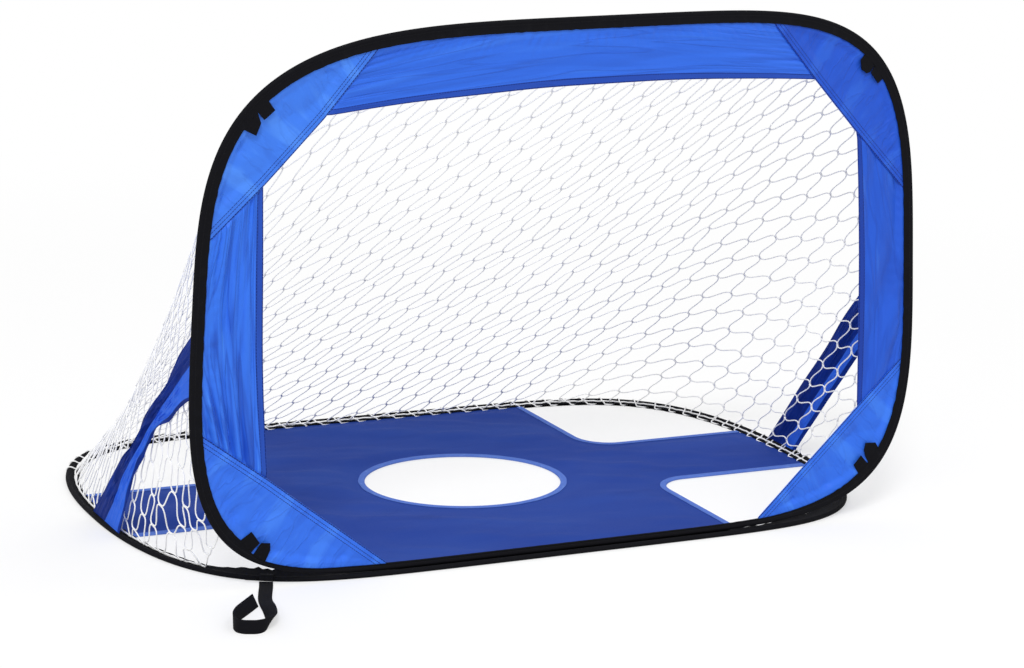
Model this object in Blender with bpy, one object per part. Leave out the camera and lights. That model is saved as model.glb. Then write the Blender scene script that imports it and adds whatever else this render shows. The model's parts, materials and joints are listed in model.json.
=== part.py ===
import math

import bmesh
import bpy
import numpy as np

# Overall sizes, in metres: the width is shared by both loops, the height is the goal mouth's
# and the depth is the floor loop's, front to back.
goal_width = 1.23
goal_height = 0.80
goal_depth = 0.80
floor_lead = 0.016

# Shape of the two loops: how flat each runs across and along, and how the standing loop leans and twists.
# The standing loop's four corners differ, as in the photograph.
floor_front_across = 6.4
floor_front_along = 2.2
floor_rear_across = 6.0
floor_rear_along = 2.4
frame_low_left = 6.65
frame_low_right = 5.85
frame_low_along = 3.40
frame_high_left = 3.82
frame_high_right = 5.05
frame_high_along = 3.58
frame_lean = 0.0175
frame_twist = 0.14

# Spring wire and its crimped ferrule.
wire_r = 0.0020
ferrule_gap = 0.00015
ferrule_wall = 0.00045
ferrule_length = 0.050
wire_end_gap = 0.0010

# Cloth, binding tape and the clearances between them.
fit = 0.0003
fold_gap = 0.0006
cloth = 0.0010
tape = 0.0011
binding_width = 0.021
frame_binding = 0.0185
narrow_binding = 0.0105
narrow_ends = 0.290
narrow_blend = 0.24
edge_in = 0.013
least_grip = 0.0014
hem_width = 0.011
hem_extra = 0.0010
grip_width = 0.011

# Goal mouth: where each corner seam meets the mouth's edges, as distances in from the loop's side and
# down from its top or up from the floor. The hems between the seams are slightly bowed.
left_head_in = 0.186
left_head_down = 0.1244
left_side_in = 0.1015
left_side_down = 0.2093
right_head_in = 0.1906
right_head_down = 0.1153
right_side_in = 0.1151
right_side_down = 0.1928
left_low_in = 0.127
left_low_up = 0.1618
left_foot_in = 0.302
left_foot_up = 0.0279
right_low_in = 0.108
right_low_up = 0.1755
right_foot_in = 0.2909
right_foot_up = 0.0154
head_arch = 0.0175
left_bow = 0.0075
right_bow = 0.0030
seam_gap = 0.0003
panel_wave = 0.0022
gusset_wave = 0.0016

# Target sheet on the floor: cross-shaped, with an oval hole.
hole_half_x = 0.163
hole_half_y = 0.141
hole_right = 0.005
target_back = 0.003
band_side = 0.316
arm_ahead = 0.103
arm_behind = 0.117
notch_r = 0.055
rim_width = 0.009
rim_tape = 0.0008
rim_end = 0.0008

# Side braces between the frame's sides and the floor loop's sides.
# Each is a flat band that narrows a little where it hangs free.
left_brace_head = 0.101
left_brace_head_low = 0.0595
left_brace_foot = 0.120
left_brace_foot_ahead = 0.060
left_brace_gather = 0.027
right_brace_head = 0.113
right_brace_head_low = -0.0065
right_brace_foot = 0.087
right_brace_foot_ahead = 0.0165
right_brace_gather = 0.004
brace_inset = 0.0075
brace_cloth = 0.0010
brace_wave = 0.0022

# Net: twine size and the count of full gaps along and down.
net_columns = 19
net_rows = 7
twine_half = 0.0010
net_start = 0.10
net_inset = 0.015
net_slack = 0.020

# Closing tabs: two at each corner.
tab_width = 0.022
tab_length = 0.0180
tab_gap = 0.006
tab_thick = 0.0011
tab_root = 0.0019
tab_point = 0.009
tab_clip = 0.0070
tab_lean = 0.30
top_left_tab_in = 0.069
top_right_tab_in = 0.066
low_left_tab_in = 0.099
low_right_tab_in = 0.074

# Ground strap at the front left corner.
strap_width = 0.020
strap_thick = 0.0016
strap_in = 0.139
strap_seat = 0.0007
strap_sewn = 0.017
strap_fall = 0.0030
strap_bend = 0.0040
strap_flat = 0.080
strap_on_edge = 0.130
strap_sway = 0.011
strap_loop_at = 0.193
strap_loop_side = 0.004
strap_loop_long = 0.034
strap_loop_wide = 0.024

# Hinge tape behind the two bindings.
hinge_ends = 0.335
hinge_tape = 0.0010
hinge_rise = 0.0130
hinge_floor = 0.0120

# Counts along the loops, and the extra run that each radian of a loop's turn counts for when its points are spread.
loop_points = 64
turn_run = 0.25
round_sides = 8

# Sizes that follow from those above.
side_turn = math.pi / round_sides
ferrule_r = wire_r + ferrule_gap + ferrule_wall
pocket = ferrule_r * math.cos(side_turn) + fit
bead = pocket + tape
leg_in = cloth / 2 + fit
leg_out = leg_in + tape
sheet_z = tape + fit + cloth / 2
flange_z = sheet_z + leg_out
bead_z = 2 * bead
bead_corner = 0.0018
slope_out = bead + pocket + 0.0028
slope_top = bead + 0.0021
bead_turn_r = math.hypot(bead, bead_corner)
axis_z = flange_z + fold_gap + bead_turn_r
frame_low = axis_z - bead
loop_half = goal_width / 2
target_y = goal_depth / 2 - floor_lead - target_back
band_half = loop_half - band_side
arm_front_y = target_y - arm_ahead
arm_rear_y = target_y + arm_behind
strap_x = strap_in - loop_half
hinge_half = loop_half - hinge_ends
narrow_half = loop_half - narrow_ends


def clear_scene():
    for obj in list(bpy.data.objects):
        bpy.data.objects.remove(obj)


def material(name, colour, roughness, metallic=0.0):
    made = bpy.data.materials.new(name)
    made.use_nodes = True
    shader = made.node_tree.nodes["Principled BSDF"]
    shader.inputs["Base Color"].default_value = (*colour, 1.0)
    shader.inputs["Roughness"].default_value = roughness
    shader.inputs["Metallic"].default_value = metallic
    made.diffuse_color = (*colour, 1.0)
    return made


def add_body(name, points, faces, look, smooth):
    mesh = bpy.data.meshes.new(name)
    mesh.from_pydata([tuple(p) for p in points], [], faces)
    mesh.update()
    work = bmesh.new()
    work.from_mesh(mesh)
    bmesh.ops.remove_doubles(work, verts=work.verts, dist=0.00001)
    bmesh.ops.triangulate(work, faces=work.faces)
    bmesh.ops.recalc_face_normals(work, faces=work.faces)
    work.to_mesh(mesh)
    work.free()
    if smooth:
        mesh.shade_smooth()
        mesh.set_sharp_from_angle(angle=math.radians(50))
    mesh.materials.append(look)
    obj = bpy.data.objects.new(name, mesh)
    bpy.context.scene.collection.objects.link(obj)
    return obj


def set_origin(obj, place):
    shift = np.array(place)
    for vertex in obj.data.vertices:
        vertex.co = tuple(np.array(vertex.co) - shift)
    obj.location = tuple(shift)


# One loop's outline as evenly turning points, with the direction into the loop at each. The powers are
# those of the left side across, the right side across and the run along.
def outline(low, high, low_powers, high_powers):
    half = (high - low) / 2
    turn = np.linspace(-math.pi / 2, 1.5 * math.pi, 8001)
    cos_t, sin_t = np.cos(turn), np.sin(turn)
    upper, right = sin_t > 0, cos_t > 0
    high_x = np.where(right, high_powers[1], high_powers[0])
    low_x = np.where(right, low_powers[1], low_powers[0])
    power_x = np.where(upper, high_x, low_x)
    power_y = np.where(upper, high_powers[2], low_powers[2])
    share_x = np.abs(cos_t) ** (2 / power_x)
    share_y = np.abs(sin_t) ** (2 / power_y)
    x = np.sign(cos_t) * share_x * loop_half
    y = np.sign(sin_t) * share_y * half
    steps = np.hypot(np.diff(x), np.diff(y))
    grow_x = np.sign(x) * power_x / loop_half * share_x ** (power_x - 1)
    grow_y = np.sign(y) * power_y / half * share_y ** (power_y - 1)
    size = np.hypot(grow_x, grow_y)
    inward = -np.stack([grow_x / size, grow_y / size], 1)
    bend = np.linalg.norm(np.diff(inward, axis=0), axis=1)
    run = np.concatenate([[0], np.cumsum(steps + turn_run * bend)])
    want = (np.arange(loop_points) + 0.5) / loop_points * run[-1]
    points = np.stack([np.interp(want, run, x), np.interp(want, run, y + low + half)], 1)
    normal = np.stack([np.interp(want, run, inward[:, 0]), np.interp(want, run, inward[:, 1])], 1)
    return points, normal / np.linalg.norm(normal, axis=1)[:, None]


# Height above the floor is v for the floor loop.
def on_floor(point, v):
    return np.array([point[0], point[1], v])


# The standing frame's cloth lies on one gently twisted surface, and v is the distance behind it.
def frame_y(x, z):
    return z * frame_lean + frame_twist * x * z / goal_height


def frame_normal(x, z):
    across = frame_twist * z / goal_height
    rise = frame_lean + frame_twist * x / goal_height
    normal = np.array([-across, 1.0, -rise])
    return normal / np.linalg.norm(normal)


def on_frame(point, v):
    x, z = point
    return np.array([x, frame_y(x, z), z]) + frame_normal(x, z) * v


# Faces between rings of points, closed round the ring, and along the row too where asked.
def ring_faces(count, size, closed):
    faces = []
    for i in range(count if closed else count - 1):
        k = (i + 1) % count
        for j in range(size):
            m = (j + 1) % size
            faces.append((i * size + j, i * size + m, k * size + m, k * size + j))
    if not closed:
        faces.append(tuple(range(size)))
        faces.append(tuple(range((count - 1) * size, count * size)))
    return faces


def swept(name, rings, closed, look, smooth):
    count, size = len(rings), len(rings[0])
    points = [p for ring in rings for p in ring]
    return add_body(name, points, ring_faces(count, size, closed), look, smooth)


def along(points, normals, profile_at, place):
    rings = []
    for i, point in enumerate(points):
        rings.append([place(point + normals[i] * u, v) for u, v in profile_at(i)])
    return rings


def round_profile(radius, middle_v):
    profile = []
    for k in range(round_sides):
        angle = (2 * k + 1) * side_turn
        profile.append((bead + radius * math.cos(angle), middle_v + radius * math.sin(angle)))
    return profile


# Binding tape folded round the wire, with two legs that hold the cloth's edge between them.
def frame_binding_profile(width):
    half = [
        (width, leg_out),
        (bead + pocket + 0.0027, leg_out),
        (bead + 0.0020, bead),
        (bead - bead_corner, bead),
        (0.0, bead_corner),
    ]
    inner = [
        (bead + pocket + 0.0021, leg_in),
        (bead + 0.0016, pocket),
        (bead - 0.0012, pocket),
        (tape, 0.0012),
    ]
    outer = half + [(u, -v) for u, v in reversed(half)]
    inside = [(width, -leg_in)] + [(u, -v) for u, v in inner]
    inside += list(reversed(inner)) + [(width, leg_in)]
    return outer + inside


# The floor loop's binding has its lower leg flat on the floor.
def floor_binding_profile():
    slope_in = bead + pocket + 0.0020
    return [
        (binding_width, 0.0),
        (0.0020, 0.0),
        (0.0, 0.0020),
        (0.0, bead_z - 0.0020),
        (0.0020, bead_z),
        (slope_top, bead_z),
        (slope_out, flange_z),
        (binding_width, flange_z),
        (binding_width, flange_z - tape),
        (slope_in, flange_z - tape),
        (bead + 0.0015, bead + pocket),
        (bead - 0.0012, bead + pocket),
        (tape, bead + 0.0012),
        (tape, bead - 0.0012),
        (bead - 0.0012, tape),
        (binding_width, tape),
    ]


# The wire is one length of spring steel whose two ends meet inside a ferrule at the far side of the loop.
def wire_and_ferrule(prefix, points, normals, middle_v, place, look_wire, look_ferrule):
    far = loop_points // 2
    start, finish = far - 1, far
    middle = (points[start] + points[finish]) / 2
    inward = normals[start] + normals[finish]
    inward = inward / np.linalg.norm(inward)
    chord = points[finish] - points[start]
    chord = chord / np.linalg.norm(chord)
    order = [(finish + i) % loop_points for i in range(loop_points)]
    shape = round_profile(wire_r, middle_v)
    rows = [middle + chord * wire_end_gap] + [points[i] for i in order] + [middle - chord * wire_end_gap]
    ways = [inward] + [normals[i] for i in order] + [inward]
    rings = along(rows, ways, lambda i: shape, place)
    swept(prefix + "_spring_wire", rings, False, look_wire, True)
    ends = [middle - chord * ferrule_length / 2, middle + chord * ferrule_length / 2]
    outer = along(ends, [inward, inward], lambda i: round_profile(ferrule_r, middle_v), place)
    bore = along(ends, [inward, inward], lambda i: round_profile(ferrule_r - ferrule_wall, middle_v), place)
    rings = [outer[0], outer[1], bore[1], bore[0]]
    swept(prefix + "_wire_ferrule", rings, True, look_ferrule, True)


def ease(value):
    value = min(max(value, 0.0), 1.0)
    return value * value * (3 - 2 * value)


# A line of points set inside an outline.
def inset(points, normals, depth):
    return points + normals * depth


# Where a straight line crosses a closed run of points, as a place along the run; near picks the crossing.
def crossing(run, start, end, near):
    best = None
    line = end - start
    for i in range(len(run)):
        a, b = run[i], run[(i + 1) % len(run)]
        edge = b - a
        cross = line[0] * edge[1] - line[1] * edge[0]
        if abs(cross) < 1e-12:
            continue
        gap = a - start
        share = (gap[0] * line[1] - gap[1] * line[0]) / cross
        if not 0 <= share < 1:
            continue
        place = a + edge * share
        away = np.linalg.norm(place - near)
        if best is None or away < best[0]:
            best = (away, i + share)
    return best[1]


# Points at even steps along a closed run between two places on it.
def stretch(run, first, last, count):
    if last < first:
        last += len(run)
    stops = [first] + [i for i in range(math.floor(first) + 1, math.ceil(last))] + [last]
    places = []
    for stop in stops:
        i = math.floor(stop) % len(run)
        share = stop - math.floor(stop)
        places.append(run[i] * (1 - share) + run[(i + 1) % len(run)] * share)
    places = np.array(places)
    length = np.concatenate([[0], np.cumsum(np.linalg.norm(np.diff(places, axis=0), axis=1))])
    want = np.linspace(0, length[-1], count)
    return np.stack([np.interp(want, length, places[:, 0]), np.interp(want, length, places[:, 1])], 1)


# A cloth panel: rows of flat points, each with a thickness and a height of its folds.
def cloth_body(name, rows, thick, wave, place, look):
    count, size = len(rows), len(rows[0])
    front, back = [], []
    for i in range(count):
        for j in range(size):
            front.append(place(rows[i][j], wave[i][j] - thick[i][j] / 2))
            back.append(place(rows[i][j], wave[i][j] + thick[i][j] / 2))
    total = count * size
    faces = []
    for i in range(count - 1):
        for j in range(size - 1):
            a, b = i * size + j, i * size + j + 1
            c, d = b + size, a + size
            faces.append((a, b, c, d))
            faces.append((a + total, d + total, c + total, b + total))
    border = [j for j in range(size)]
    border += [i * size + size - 1 for i in range(1, count)]
    border += [(count - 1) * size + j for j in range(size - 2, -1, -1)]
    border += [i * size for i in range(count - 2, 0, -1)]
    for k, a in enumerate(border):
        b = border[(k + 1) % len(border)]
        faces.append((a, b, b + total, a + total))
    return add_body(name, front + back, faces, look, True)


# Each strip of the mouth's surround runs from its hem at the mouth to its edge inside the binding.
def surround(name, inner, outer, wave_size, folds, look, pinned_hem):
    rows, thick, wave = [], [], []
    last = len(inner) - 1
    for i in range(len(inner)):
        reach = outer[i] - inner[i]
        width = np.linalg.norm(reach)
        hem_a = min(hem_width - 0.002, 0.30 * width)
        hem_b = min(hem_width, 0.36 * width)
        grip = max(width - grip_width, 0.8 * width)
        stops = [0.0, hem_a, hem_b, hem_b + (grip - hem_b) * 0.33, hem_b + (grip - hem_b) * 0.67, grip, width]
        bulk = hem_extra * ease((width - 0.030) / 0.020)
        rows.append([inner[i] + reach * (s / width) for s in stops])
        thick.append([cloth + bulk, cloth + bulk] + [cloth] * 5)
        place = i / last
        ends = ease(min(place, 1 - place) / 0.12) * ease((width - 0.05) / 0.03)
        lift = wave_size * ends * (math.sin(folds * place) + 0.5 * math.sin(2.3 * folds * place + 1.0))
        swell = 0.6 * wave_size * ends * math.sin(1.4 * folds * place + 2.0)
        if pinned_hem:
            wave.append([0.0, 0.0, 0.0, lift, 0.0, 0.0, 0.0])
        else:
            wave.append([lift, lift, lift, lift, swell, 0.0, 0.0])
    return cloth_body(name, rows, thick, wave, on_frame, look)


def shift_line(start, end, away, distance):
    line = (end - start) / np.linalg.norm(end - start)
    side = np.array([-line[1], line[0]])
    if np.dot(away - start, side) > 0:
        side = -side
    return start + side * distance, end + side * distance


# The seam lines cut the surround into three strips and four corner gussets.
def make_surround(points, normals, look):
    widths = np.array([frame_width_at(point) for point in points])
    run = points + normals * np.minimum(edge_in, widths - least_grip)[:, None]
    middle = np.array([0.0, goal_height / 2])
    seams = {}
    high = {
        "left": ((left_head_in, left_head_down), (left_side_in, left_side_down)),
        "right": ((right_head_in, right_head_down), (right_side_in, right_side_down)),
    }
    low = {
        "left": ((left_low_in, left_low_up), (left_foot_in, left_foot_up)),
        "right": ((right_low_in, right_low_up), (right_foot_in, right_foot_up)),
    }
    for side, sign in (("left", -1.0), ("right", 1.0)):
        seams["top_" + side] = [np.array([sign * (loop_half - u), goal_height - v]) for u, v in high[side]]
        seams["bottom_" + side] = [np.array([sign * (loop_half - u), v]) for u, v in low[side]]
    for corner, (a, b) in seams.items():
        side = -1.0 if corner.endswith("left") else 1.0
        high = corner.startswith("top")
        low_z, high_z = (0.45, goal_height) if high else (0.0, 0.35)
        c, d = shift_line(a, b, middle, seam_gap / 2)
        near_in = np.array([side * 0.33, high_z if high else low_z])
        near_out = np.array([side * loop_half, low_z if high else high_z])
        flat = crossing(run, c, d, near_in)
        steep = crossing(run, c, d, near_out)
        slip = 0.10
        if corner in ("top_left", "bottom_right"):
            outer = stretch(run, flat + slip, steep - slip, 15)
        else:
            outer = stretch(run, steep + slip, flat - slip, 15)
        start_line, end_line = outer[0], outer[-1]
        way = (d - c) / np.linalg.norm(d - c)
        from_a = c + way * np.dot(start_line - c, way)
        from_b = c + way * np.dot(end_line - c, way)
        inner = np.array([from_a + (from_b - from_a) * k / 14 for k in range(15)])
        surround("gusset_" + corner, inner, outer, gusset_wave, 9.0, look, True)
    strip_ends(run, seams, middle, look)


def strip_ends(run, seams, middle, look):
    cut = {}
    for corner, (a, b) in seams.items():
        side = -1.0 if corner.endswith("left") else 1.0
        high = corner.startswith("top")
        c, d = shift_line(a, b, middle, -seam_gap / 2)
        near_flat = np.array([side * 0.33, goal_height if high else 0.0])
        near_steep = np.array([side * loop_half, 0.45 if high else 0.35])
        cut[corner] = (c, d, crossing(run, c, d, near_flat), crossing(run, c, d, near_steep))

    inner = bowed(cut["top_right"][0], cut["top_left"][0], 27, (0.0, head_arch))
    outer = stretch(run, cut["top_right"][2], cut["top_left"][2], 27)
    surround("top_panel", inner, outer, panel_wave, 17.0, look, False)
    inner = bowed(cut["top_left"][1], cut["bottom_left"][0], 17, (-left_bow, 0.0))
    outer = stretch(run, cut["top_left"][3], cut["bottom_left"][3], 17)
    surround("left_panel", inner, outer, panel_wave, 12.0, look, False)
    inner = bowed(cut["bottom_right"][0], cut["top_right"][1], 17, (right_bow, 0.0))
    outer = stretch(run, cut["bottom_right"][3], cut["top_right"][3], 17)
    surround("right_panel", inner, outer, panel_wave, 11.0, look, False)


# A hem's line between two seams, bowed by an offset at its middle.
def bowed(start, end, count, offset):
    line = []
    for k in range(count):
        share = k / (count - 1)
        line.append(start + (end - start) * share + np.array(offset) * (4 * share * (1 - share)))
    return np.array(line)


# One rounded inner corner of the cross: from the loop's front or rear edge round to its side edge.
def notch_line(sign_x, row_y, sign_y, run):
    end_y = goal_depth if sign_y > 0 else -goal_depth
    corner = np.array([sign_x * band_half, row_y])
    along_x = crossing(run, corner, corner + np.array([0.0, 1.0]), np.array([corner[0], end_y]))
    along_y = crossing(run, corner, corner + np.array([1.0, 0.0]), np.array([sign_x * loop_half, row_y]))
    middle = corner + np.array([sign_x, sign_y]) * notch_r
    arc = []
    for k in range(9):
        angle = math.pi / 2 * k / 8
        offset = np.array([-sign_x * math.cos(angle), -sign_y * math.sin(angle)])
        arc.append(middle + offset * notch_r)
    return along_x, along_y, arc


def point_on(run, place):
    i = math.floor(place) % len(run)
    share = place - math.floor(place)
    return run[i] * (1 - share) + run[(i + 1) % len(run)] * share


# The sheet's outline goes round the cross; the hole and each notch are bound with their own tape.
def make_target(points, normals, sheet_look, rim_look):
    run = inset(points, normals, edge_in)
    lip = inset(points, normals, binding_width + rim_end)
    corners = {
        "front_right": (1.0, arm_front_y, -1.0),
        "rear_right": (1.0, arm_rear_y, 1.0),
        "rear_left": (-1.0, arm_rear_y, 1.0),
        "front_left": (-1.0, arm_front_y, -1.0),
    }
    notches = {name: notch_line(*corner, run) for name, corner in corners.items()}
    hole = []
    for k in range(40):
        angle = 2 * math.pi * k / 40
        hole.append(np.array([hole_right + hole_half_x * math.cos(angle), target_y + hole_half_y * math.sin(angle)]))
    border = cross_border(notches, run)
    plate_with_hole("target_sheet", border, hole, sheet_z - cloth / 2, sheet_z + cloth / 2, sheet_look)
    rim("centre_hole_binding", hole, True, 1.0, rim_look)
    for name, (sign_x, row_y, sign_y) in corners.items():
        along_x, along_y, _ = notch_line(sign_x, row_y, sign_y, lip)
        start, end = point_on(lip, along_x), point_on(lip, along_y)
        arc = notches[name][2]
        line = [start, (start + arc[0]) / 2] + arc + [(arc[-1] + end) / 2, end]
        rim("notch_binding_" + name, line, False, sign_x * sign_y, rim_look)


# The cross's outline, one side of the loop after another, with the notches between them.
def cross_border(notches, run):
    order = [
        ("front_left", "front_right", 0),
        ("front_right", "rear_right", 1),
        ("rear_right", "rear_left", 0),
        ("rear_left", "front_left", 1),
    ]
    border = []
    for here, there, which in order:
        count = 7 if which else 11
        border += list(stretch(run, notches[here][which], notches[there][which], count))
        arc = notches[there][2]
        border += list(reversed(arc)) if which else arc
    return border


def plate_with_hole(name, border, hole, low, high, look):
    work = bmesh.new()
    loops = []
    for ring in (border, hole):
        verts = [work.verts.new((p[0], p[1], low)) for p in ring]
        loops += [work.edges.new((verts[i], verts[(i + 1) % len(verts)])) for i in range(len(verts))]
    bmesh.ops.triangle_fill(work, edges=loops, use_beauty=True)
    faces = list(work.faces)
    grown = bmesh.ops.extrude_face_region(work, geom=faces)
    moved = [g for g in grown["geom"] if isinstance(g, bmesh.types.BMVert)]
    bmesh.ops.translate(work, verts=moved, vec=(0, 0, high - low))
    bmesh.ops.recalc_face_normals(work, faces=work.faces)
    work.verts.index_update()
    points = [np.array(v.co) for v in work.verts]
    shapes = [tuple(v.index for v in f.verts) for f in work.faces]
    work.free()
    return add_body(name, points, shapes, look, False)


# Edge tape folded over the sheet's edge. With side 1 the sheet is to the right of the line's run.
def rim(name, line, closed, side, look):
    line = np.array(line)
    count = len(line)
    rings = []
    low_in = sheet_z - cloth / 2 - fit
    low_out = low_in - rim_tape
    high_in = sheet_z + cloth / 2 + fit
    high_out = high_in + rim_tape
    for i in range(count):
        before = line[i - 1] if closed or i else line[0]
        after = line[(i + 1) % count] if closed or i < count - 1 else line[-1]
        way = (after - before) / np.linalg.norm(after - before)
        into = np.array([way[1], -way[0]]) * side
        lip = line[i] - into * (fit + rim_tape)
        root = line[i] - into * fit
        deep = line[i] + into * rim_width
        ring = [(deep, low_out), (lip, low_out), (lip, high_out), (deep, high_out)]
        ring += [(deep, high_in), (root, high_in), (root, low_in), (deep, low_in)]
        rings.append([on_floor(spot, height) for spot, height in ring])
    return swept(name, rings, closed, look, False)


# A brace is a band of cloth from the back of the frame's side down to the floor loop's side. The head and
# the foot are each given as the place of its middle and its width there.
def make_brace(side, sign, head, foot, gather, look):
    x = sign * (loop_half - brace_inset)
    rows = []
    for i in range(17):
        share = i / 16
        row = []
        for j in range(5):
            across = j / 4
            head_z = head[0] + head[1] * (0.5 - across)
            head_y = frame_y(x, head_z) + bead + fit + brace_cloth
            foot_y = foot[0] + foot[1] * (0.5 - across)
            foot_z = bead_z + 2 * fit
            drawn_in = gather * across * math.sin(math.pi * share)
            y = head_y + (foot_y - head_y) * share + drawn_in
            z = head_z + (foot_z - head_z) * share + drawn_in
            wave = brace_wave * math.sin(math.pi * share) * math.sin(7.0 * across + 4.0 * share)
            row.append(np.array([x + wave, y, z]))
        rows.append(row)
    offset = np.array([brace_cloth / 2, 0.0, 0.0])
    count, size = 17, 5
    near = [p - offset for row in rows for p in row]
    far = [p + offset for row in rows for p in row]
    total = count * size
    faces = []
    for i in range(count - 1):
        for j in range(size - 1):
            a, b = i * size + j, i * size + j + 1
            faces.append((a, b, b + size, a + size))
            faces.append((a + total, a + size + total, b + size + total, b + total))
    border = list(range(size)) + [i * size + size - 1 for i in range(1, count)]
    border += [(count - 1) * size + j for j in range(size - 2, -1, -1)]
    border += [i * size for i in range(count - 2, 0, -1)]
    for k, a in enumerate(border):
        b = border[(k + 1) % len(border)]
        faces.append((a, b, b + total, a + total))
    add_body("brace_" + side, near + far, faces, look, True)


# The net hangs between the frame's sides and top and the floor loop's sides and rear.
def make_net(frame_points, frame_normals, floor_points, floor_normals, look):
    frame_run = inset(frame_points, frame_normals, net_inset)
    floor_run = inset(floor_points, floor_normals, net_inset)
    left, right = np.array([-loop_half, net_start]), np.array([loop_half, net_start])
    level = np.array([1.0, 0.0])
    columns, rows = 2 * net_columns, 2 * net_rows
    f_first = crossing(frame_run, right, right + level, right)
    f_last = crossing(frame_run, left, left + level, left)
    g_first = crossing(floor_run, right, right + level, right)
    g_last = crossing(floor_run, left, left + level, left)
    head = stretch(frame_run, f_first, f_last, columns + 1)
    foot = stretch(floor_run, g_first, g_last, columns + 1)
    behind = leg_out + fit + twine_half
    head = [on_frame(p, behind) for p in head]
    foot = [on_floor(p, flange_z + fit + twine_half) for p in foot]

    def place(i, j):
        share = j / rows
        point = head[i] * (1 - share) + foot[i] * share
        length = np.linalg.norm(head[i] - foot[i])
        slack = net_slack * math.sin(math.pi * share) * length
        return point - np.array([0.0, 0.0, slack])

    knots = {}
    tops, lows = [], []
    for i in range(columns + 1):
        for j in range(rows + 1):
            if (i + j) % 2 == 0:
                knots[(i, j)] = len(tops)
                tops.append(place(i, j))
    normals = {}
    for i, j in knots:
        along_i = place(min(i + 1, columns), j) - place(max(i - 1, 0), j)
        along_j = place(i, min(j + 1, rows)) - place(i, max(j - 1, 0))
        normal = np.cross(along_i, along_j)
        normals[(i, j)] = normal / np.linalg.norm(normal)
    base = len(tops)
    points = []
    for key, index in knots.items():
        points.append(tops[index] + normals[key] * twine_half)
    for key, index in knots.items():
        points.append(tops[index] - normals[key] * twine_half)
    faces = []
    edges = {}
    for i in range(columns + 1):
        for j in range(rows + 1):
            if (i + j) % 2 == 0:
                continue
            ring = [(i - 1, j), (i, j - 1), (i + 1, j), (i, j + 1)]
            ring = [k for k in ring if k in knots]
            if len(ring) < 3:
                continue
            centre = sum(tops[knots[k]] for k in ring) / len(ring)
            inner = []
            for n, key in enumerate(ring):
                here = tops[knots[key]]
                a = tops[knots[ring[n - 1]]] - here
                b = tops[knots[ring[(n + 1) % len(ring)]]] - here
                a, b = a / np.linalg.norm(a), b / np.linalg.norm(b)
                half_angle = math.acos(max(-1.0, min(1.0, float(np.dot(a, b))))) / 2
                way = (a + b) / np.linalg.norm(a + b)
                points.append(here + way * twine_half / math.sin(half_angle))
                inner.append(len(points) - 1)
            for n, key in enumerate(ring):
                m = (n + 1) % len(ring)
                p, q = knots[key], knots[ring[m]]
                faces.append((p, q, inner[m], inner[n]))
                faces.append((q + base, p + base, inner[n], inner[m]))
                pair = (min(p, q), max(p, q))
                edges[pair] = edges.get(pair, 0) + 1
    for (p, q), used in edges.items():
        if used == 1:
            faces.append((p, q, q + base, p + base))
    add_body("goal_net", points, faces, look, False)


# Each closing tab is its own stiff piece, hinged on its seam at the binding's inner edge.
def make_tabs(points, normals, look):
    run_length = np.concatenate([[0], np.cumsum(np.linalg.norm(np.diff(points, axis=0), axis=1))])
    spots = [
        ("top_left", top_left_tab_in - loop_half, True), ("top_right", loop_half - top_right_tab_in, True),
        ("bottom_left", low_left_tab_in - loop_half, False), ("bottom_right", loop_half - low_right_tab_in, False),
    ]
    for corner, x, high in spots:
        best = None
        for i in range(len(points) - 1):
            a, b = points[i], points[i + 1]
            if (a[0] - x) * (b[0] - x) <= 0 and (a[1] > goal_height / 2) == high:
                best = run_length[i] + (run_length[i + 1] - run_length[i]) * (x - a[0]) / (b[0] - a[0])
        step = (tab_width + tab_gap) / 2
        for shift, square in ((-step, True), (step, False)):
            where = best + shift
            middle = np.array([np.interp(where, run_length, points[:, k]) for k in (0, 1)])
            inward = np.array([np.interp(where, run_length, normals[:, k]) for k in (0, 1)])
            inward = inward / np.linalg.norm(inward)
            make_tab(corner, square, middle, inward, look)


def make_tab(corner, square, middle, inward, look):
    side = np.array([-inward[1], inward[0]])
    root = middle + inward * (frame_width_at(middle) + tab_root)
    w, l = tab_width / 2, tab_length
    shape = [(0, -w), (l, -w), (l, w), (0, w)]
    if not square:
        near_side = [(0, -w), (l - tab_point, -w), (l, -w + tab_clip)]
        shape = near_side + [(u, -v) for u, v in reversed(near_side)]
        shape = [(u, v + u * tab_lean) for u, v in shape]
    near = -cloth / 2 - fit
    seat = on_frame(root, near - tab_thick)
    ahead = on_frame(root + inward * 0.01, near - tab_thick) - seat
    ahead = ahead / np.linalg.norm(ahead)
    across = on_frame(root + side * 0.01, near - tab_thick) - seat
    out = np.cross(ahead, across)
    out = out / np.linalg.norm(out)
    if out[1] < 0:
        out = -out
    across = np.cross(out, ahead)
    points = [seat + ahead * u + across * v for u, v in shape]
    points += [seat + ahead * u + across * v + out * tab_thick for u, v in shape]
    n = len(shape)
    faces = [tuple(range(n)), tuple(range(n, 2 * n))]
    faces += [(k, (k + 1) % n, (k + 1) % n + n, k + n) for k in range(n)]
    kind = "square" if square else "pointed"
    tab = add_body("tab_" + corner + "_" + kind, points, faces, look, False)
    set_origin(tab, seat)


# A smooth line through a few chosen points.
def smooth_line(stops, per_span):
    stops = np.array(stops)
    padded = np.vstack([2 * stops[0] - stops[1], stops, 2 * stops[-1] - stops[-2]])
    made = []
    for i in range(1, len(padded) - 2):
        a, b, c, d = padded[i - 1:i + 3]
        for k in range(per_span):
            t = k / per_span
            made.append(0.5 * (2 * b + (c - a) * t + (2 * a - 5 * b + 4 * c - d) * t * t
                               + (3 * b - a - 3 * c + d) * t ** 3))
    made.append(stops[-1])
    return np.array(made)


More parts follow.
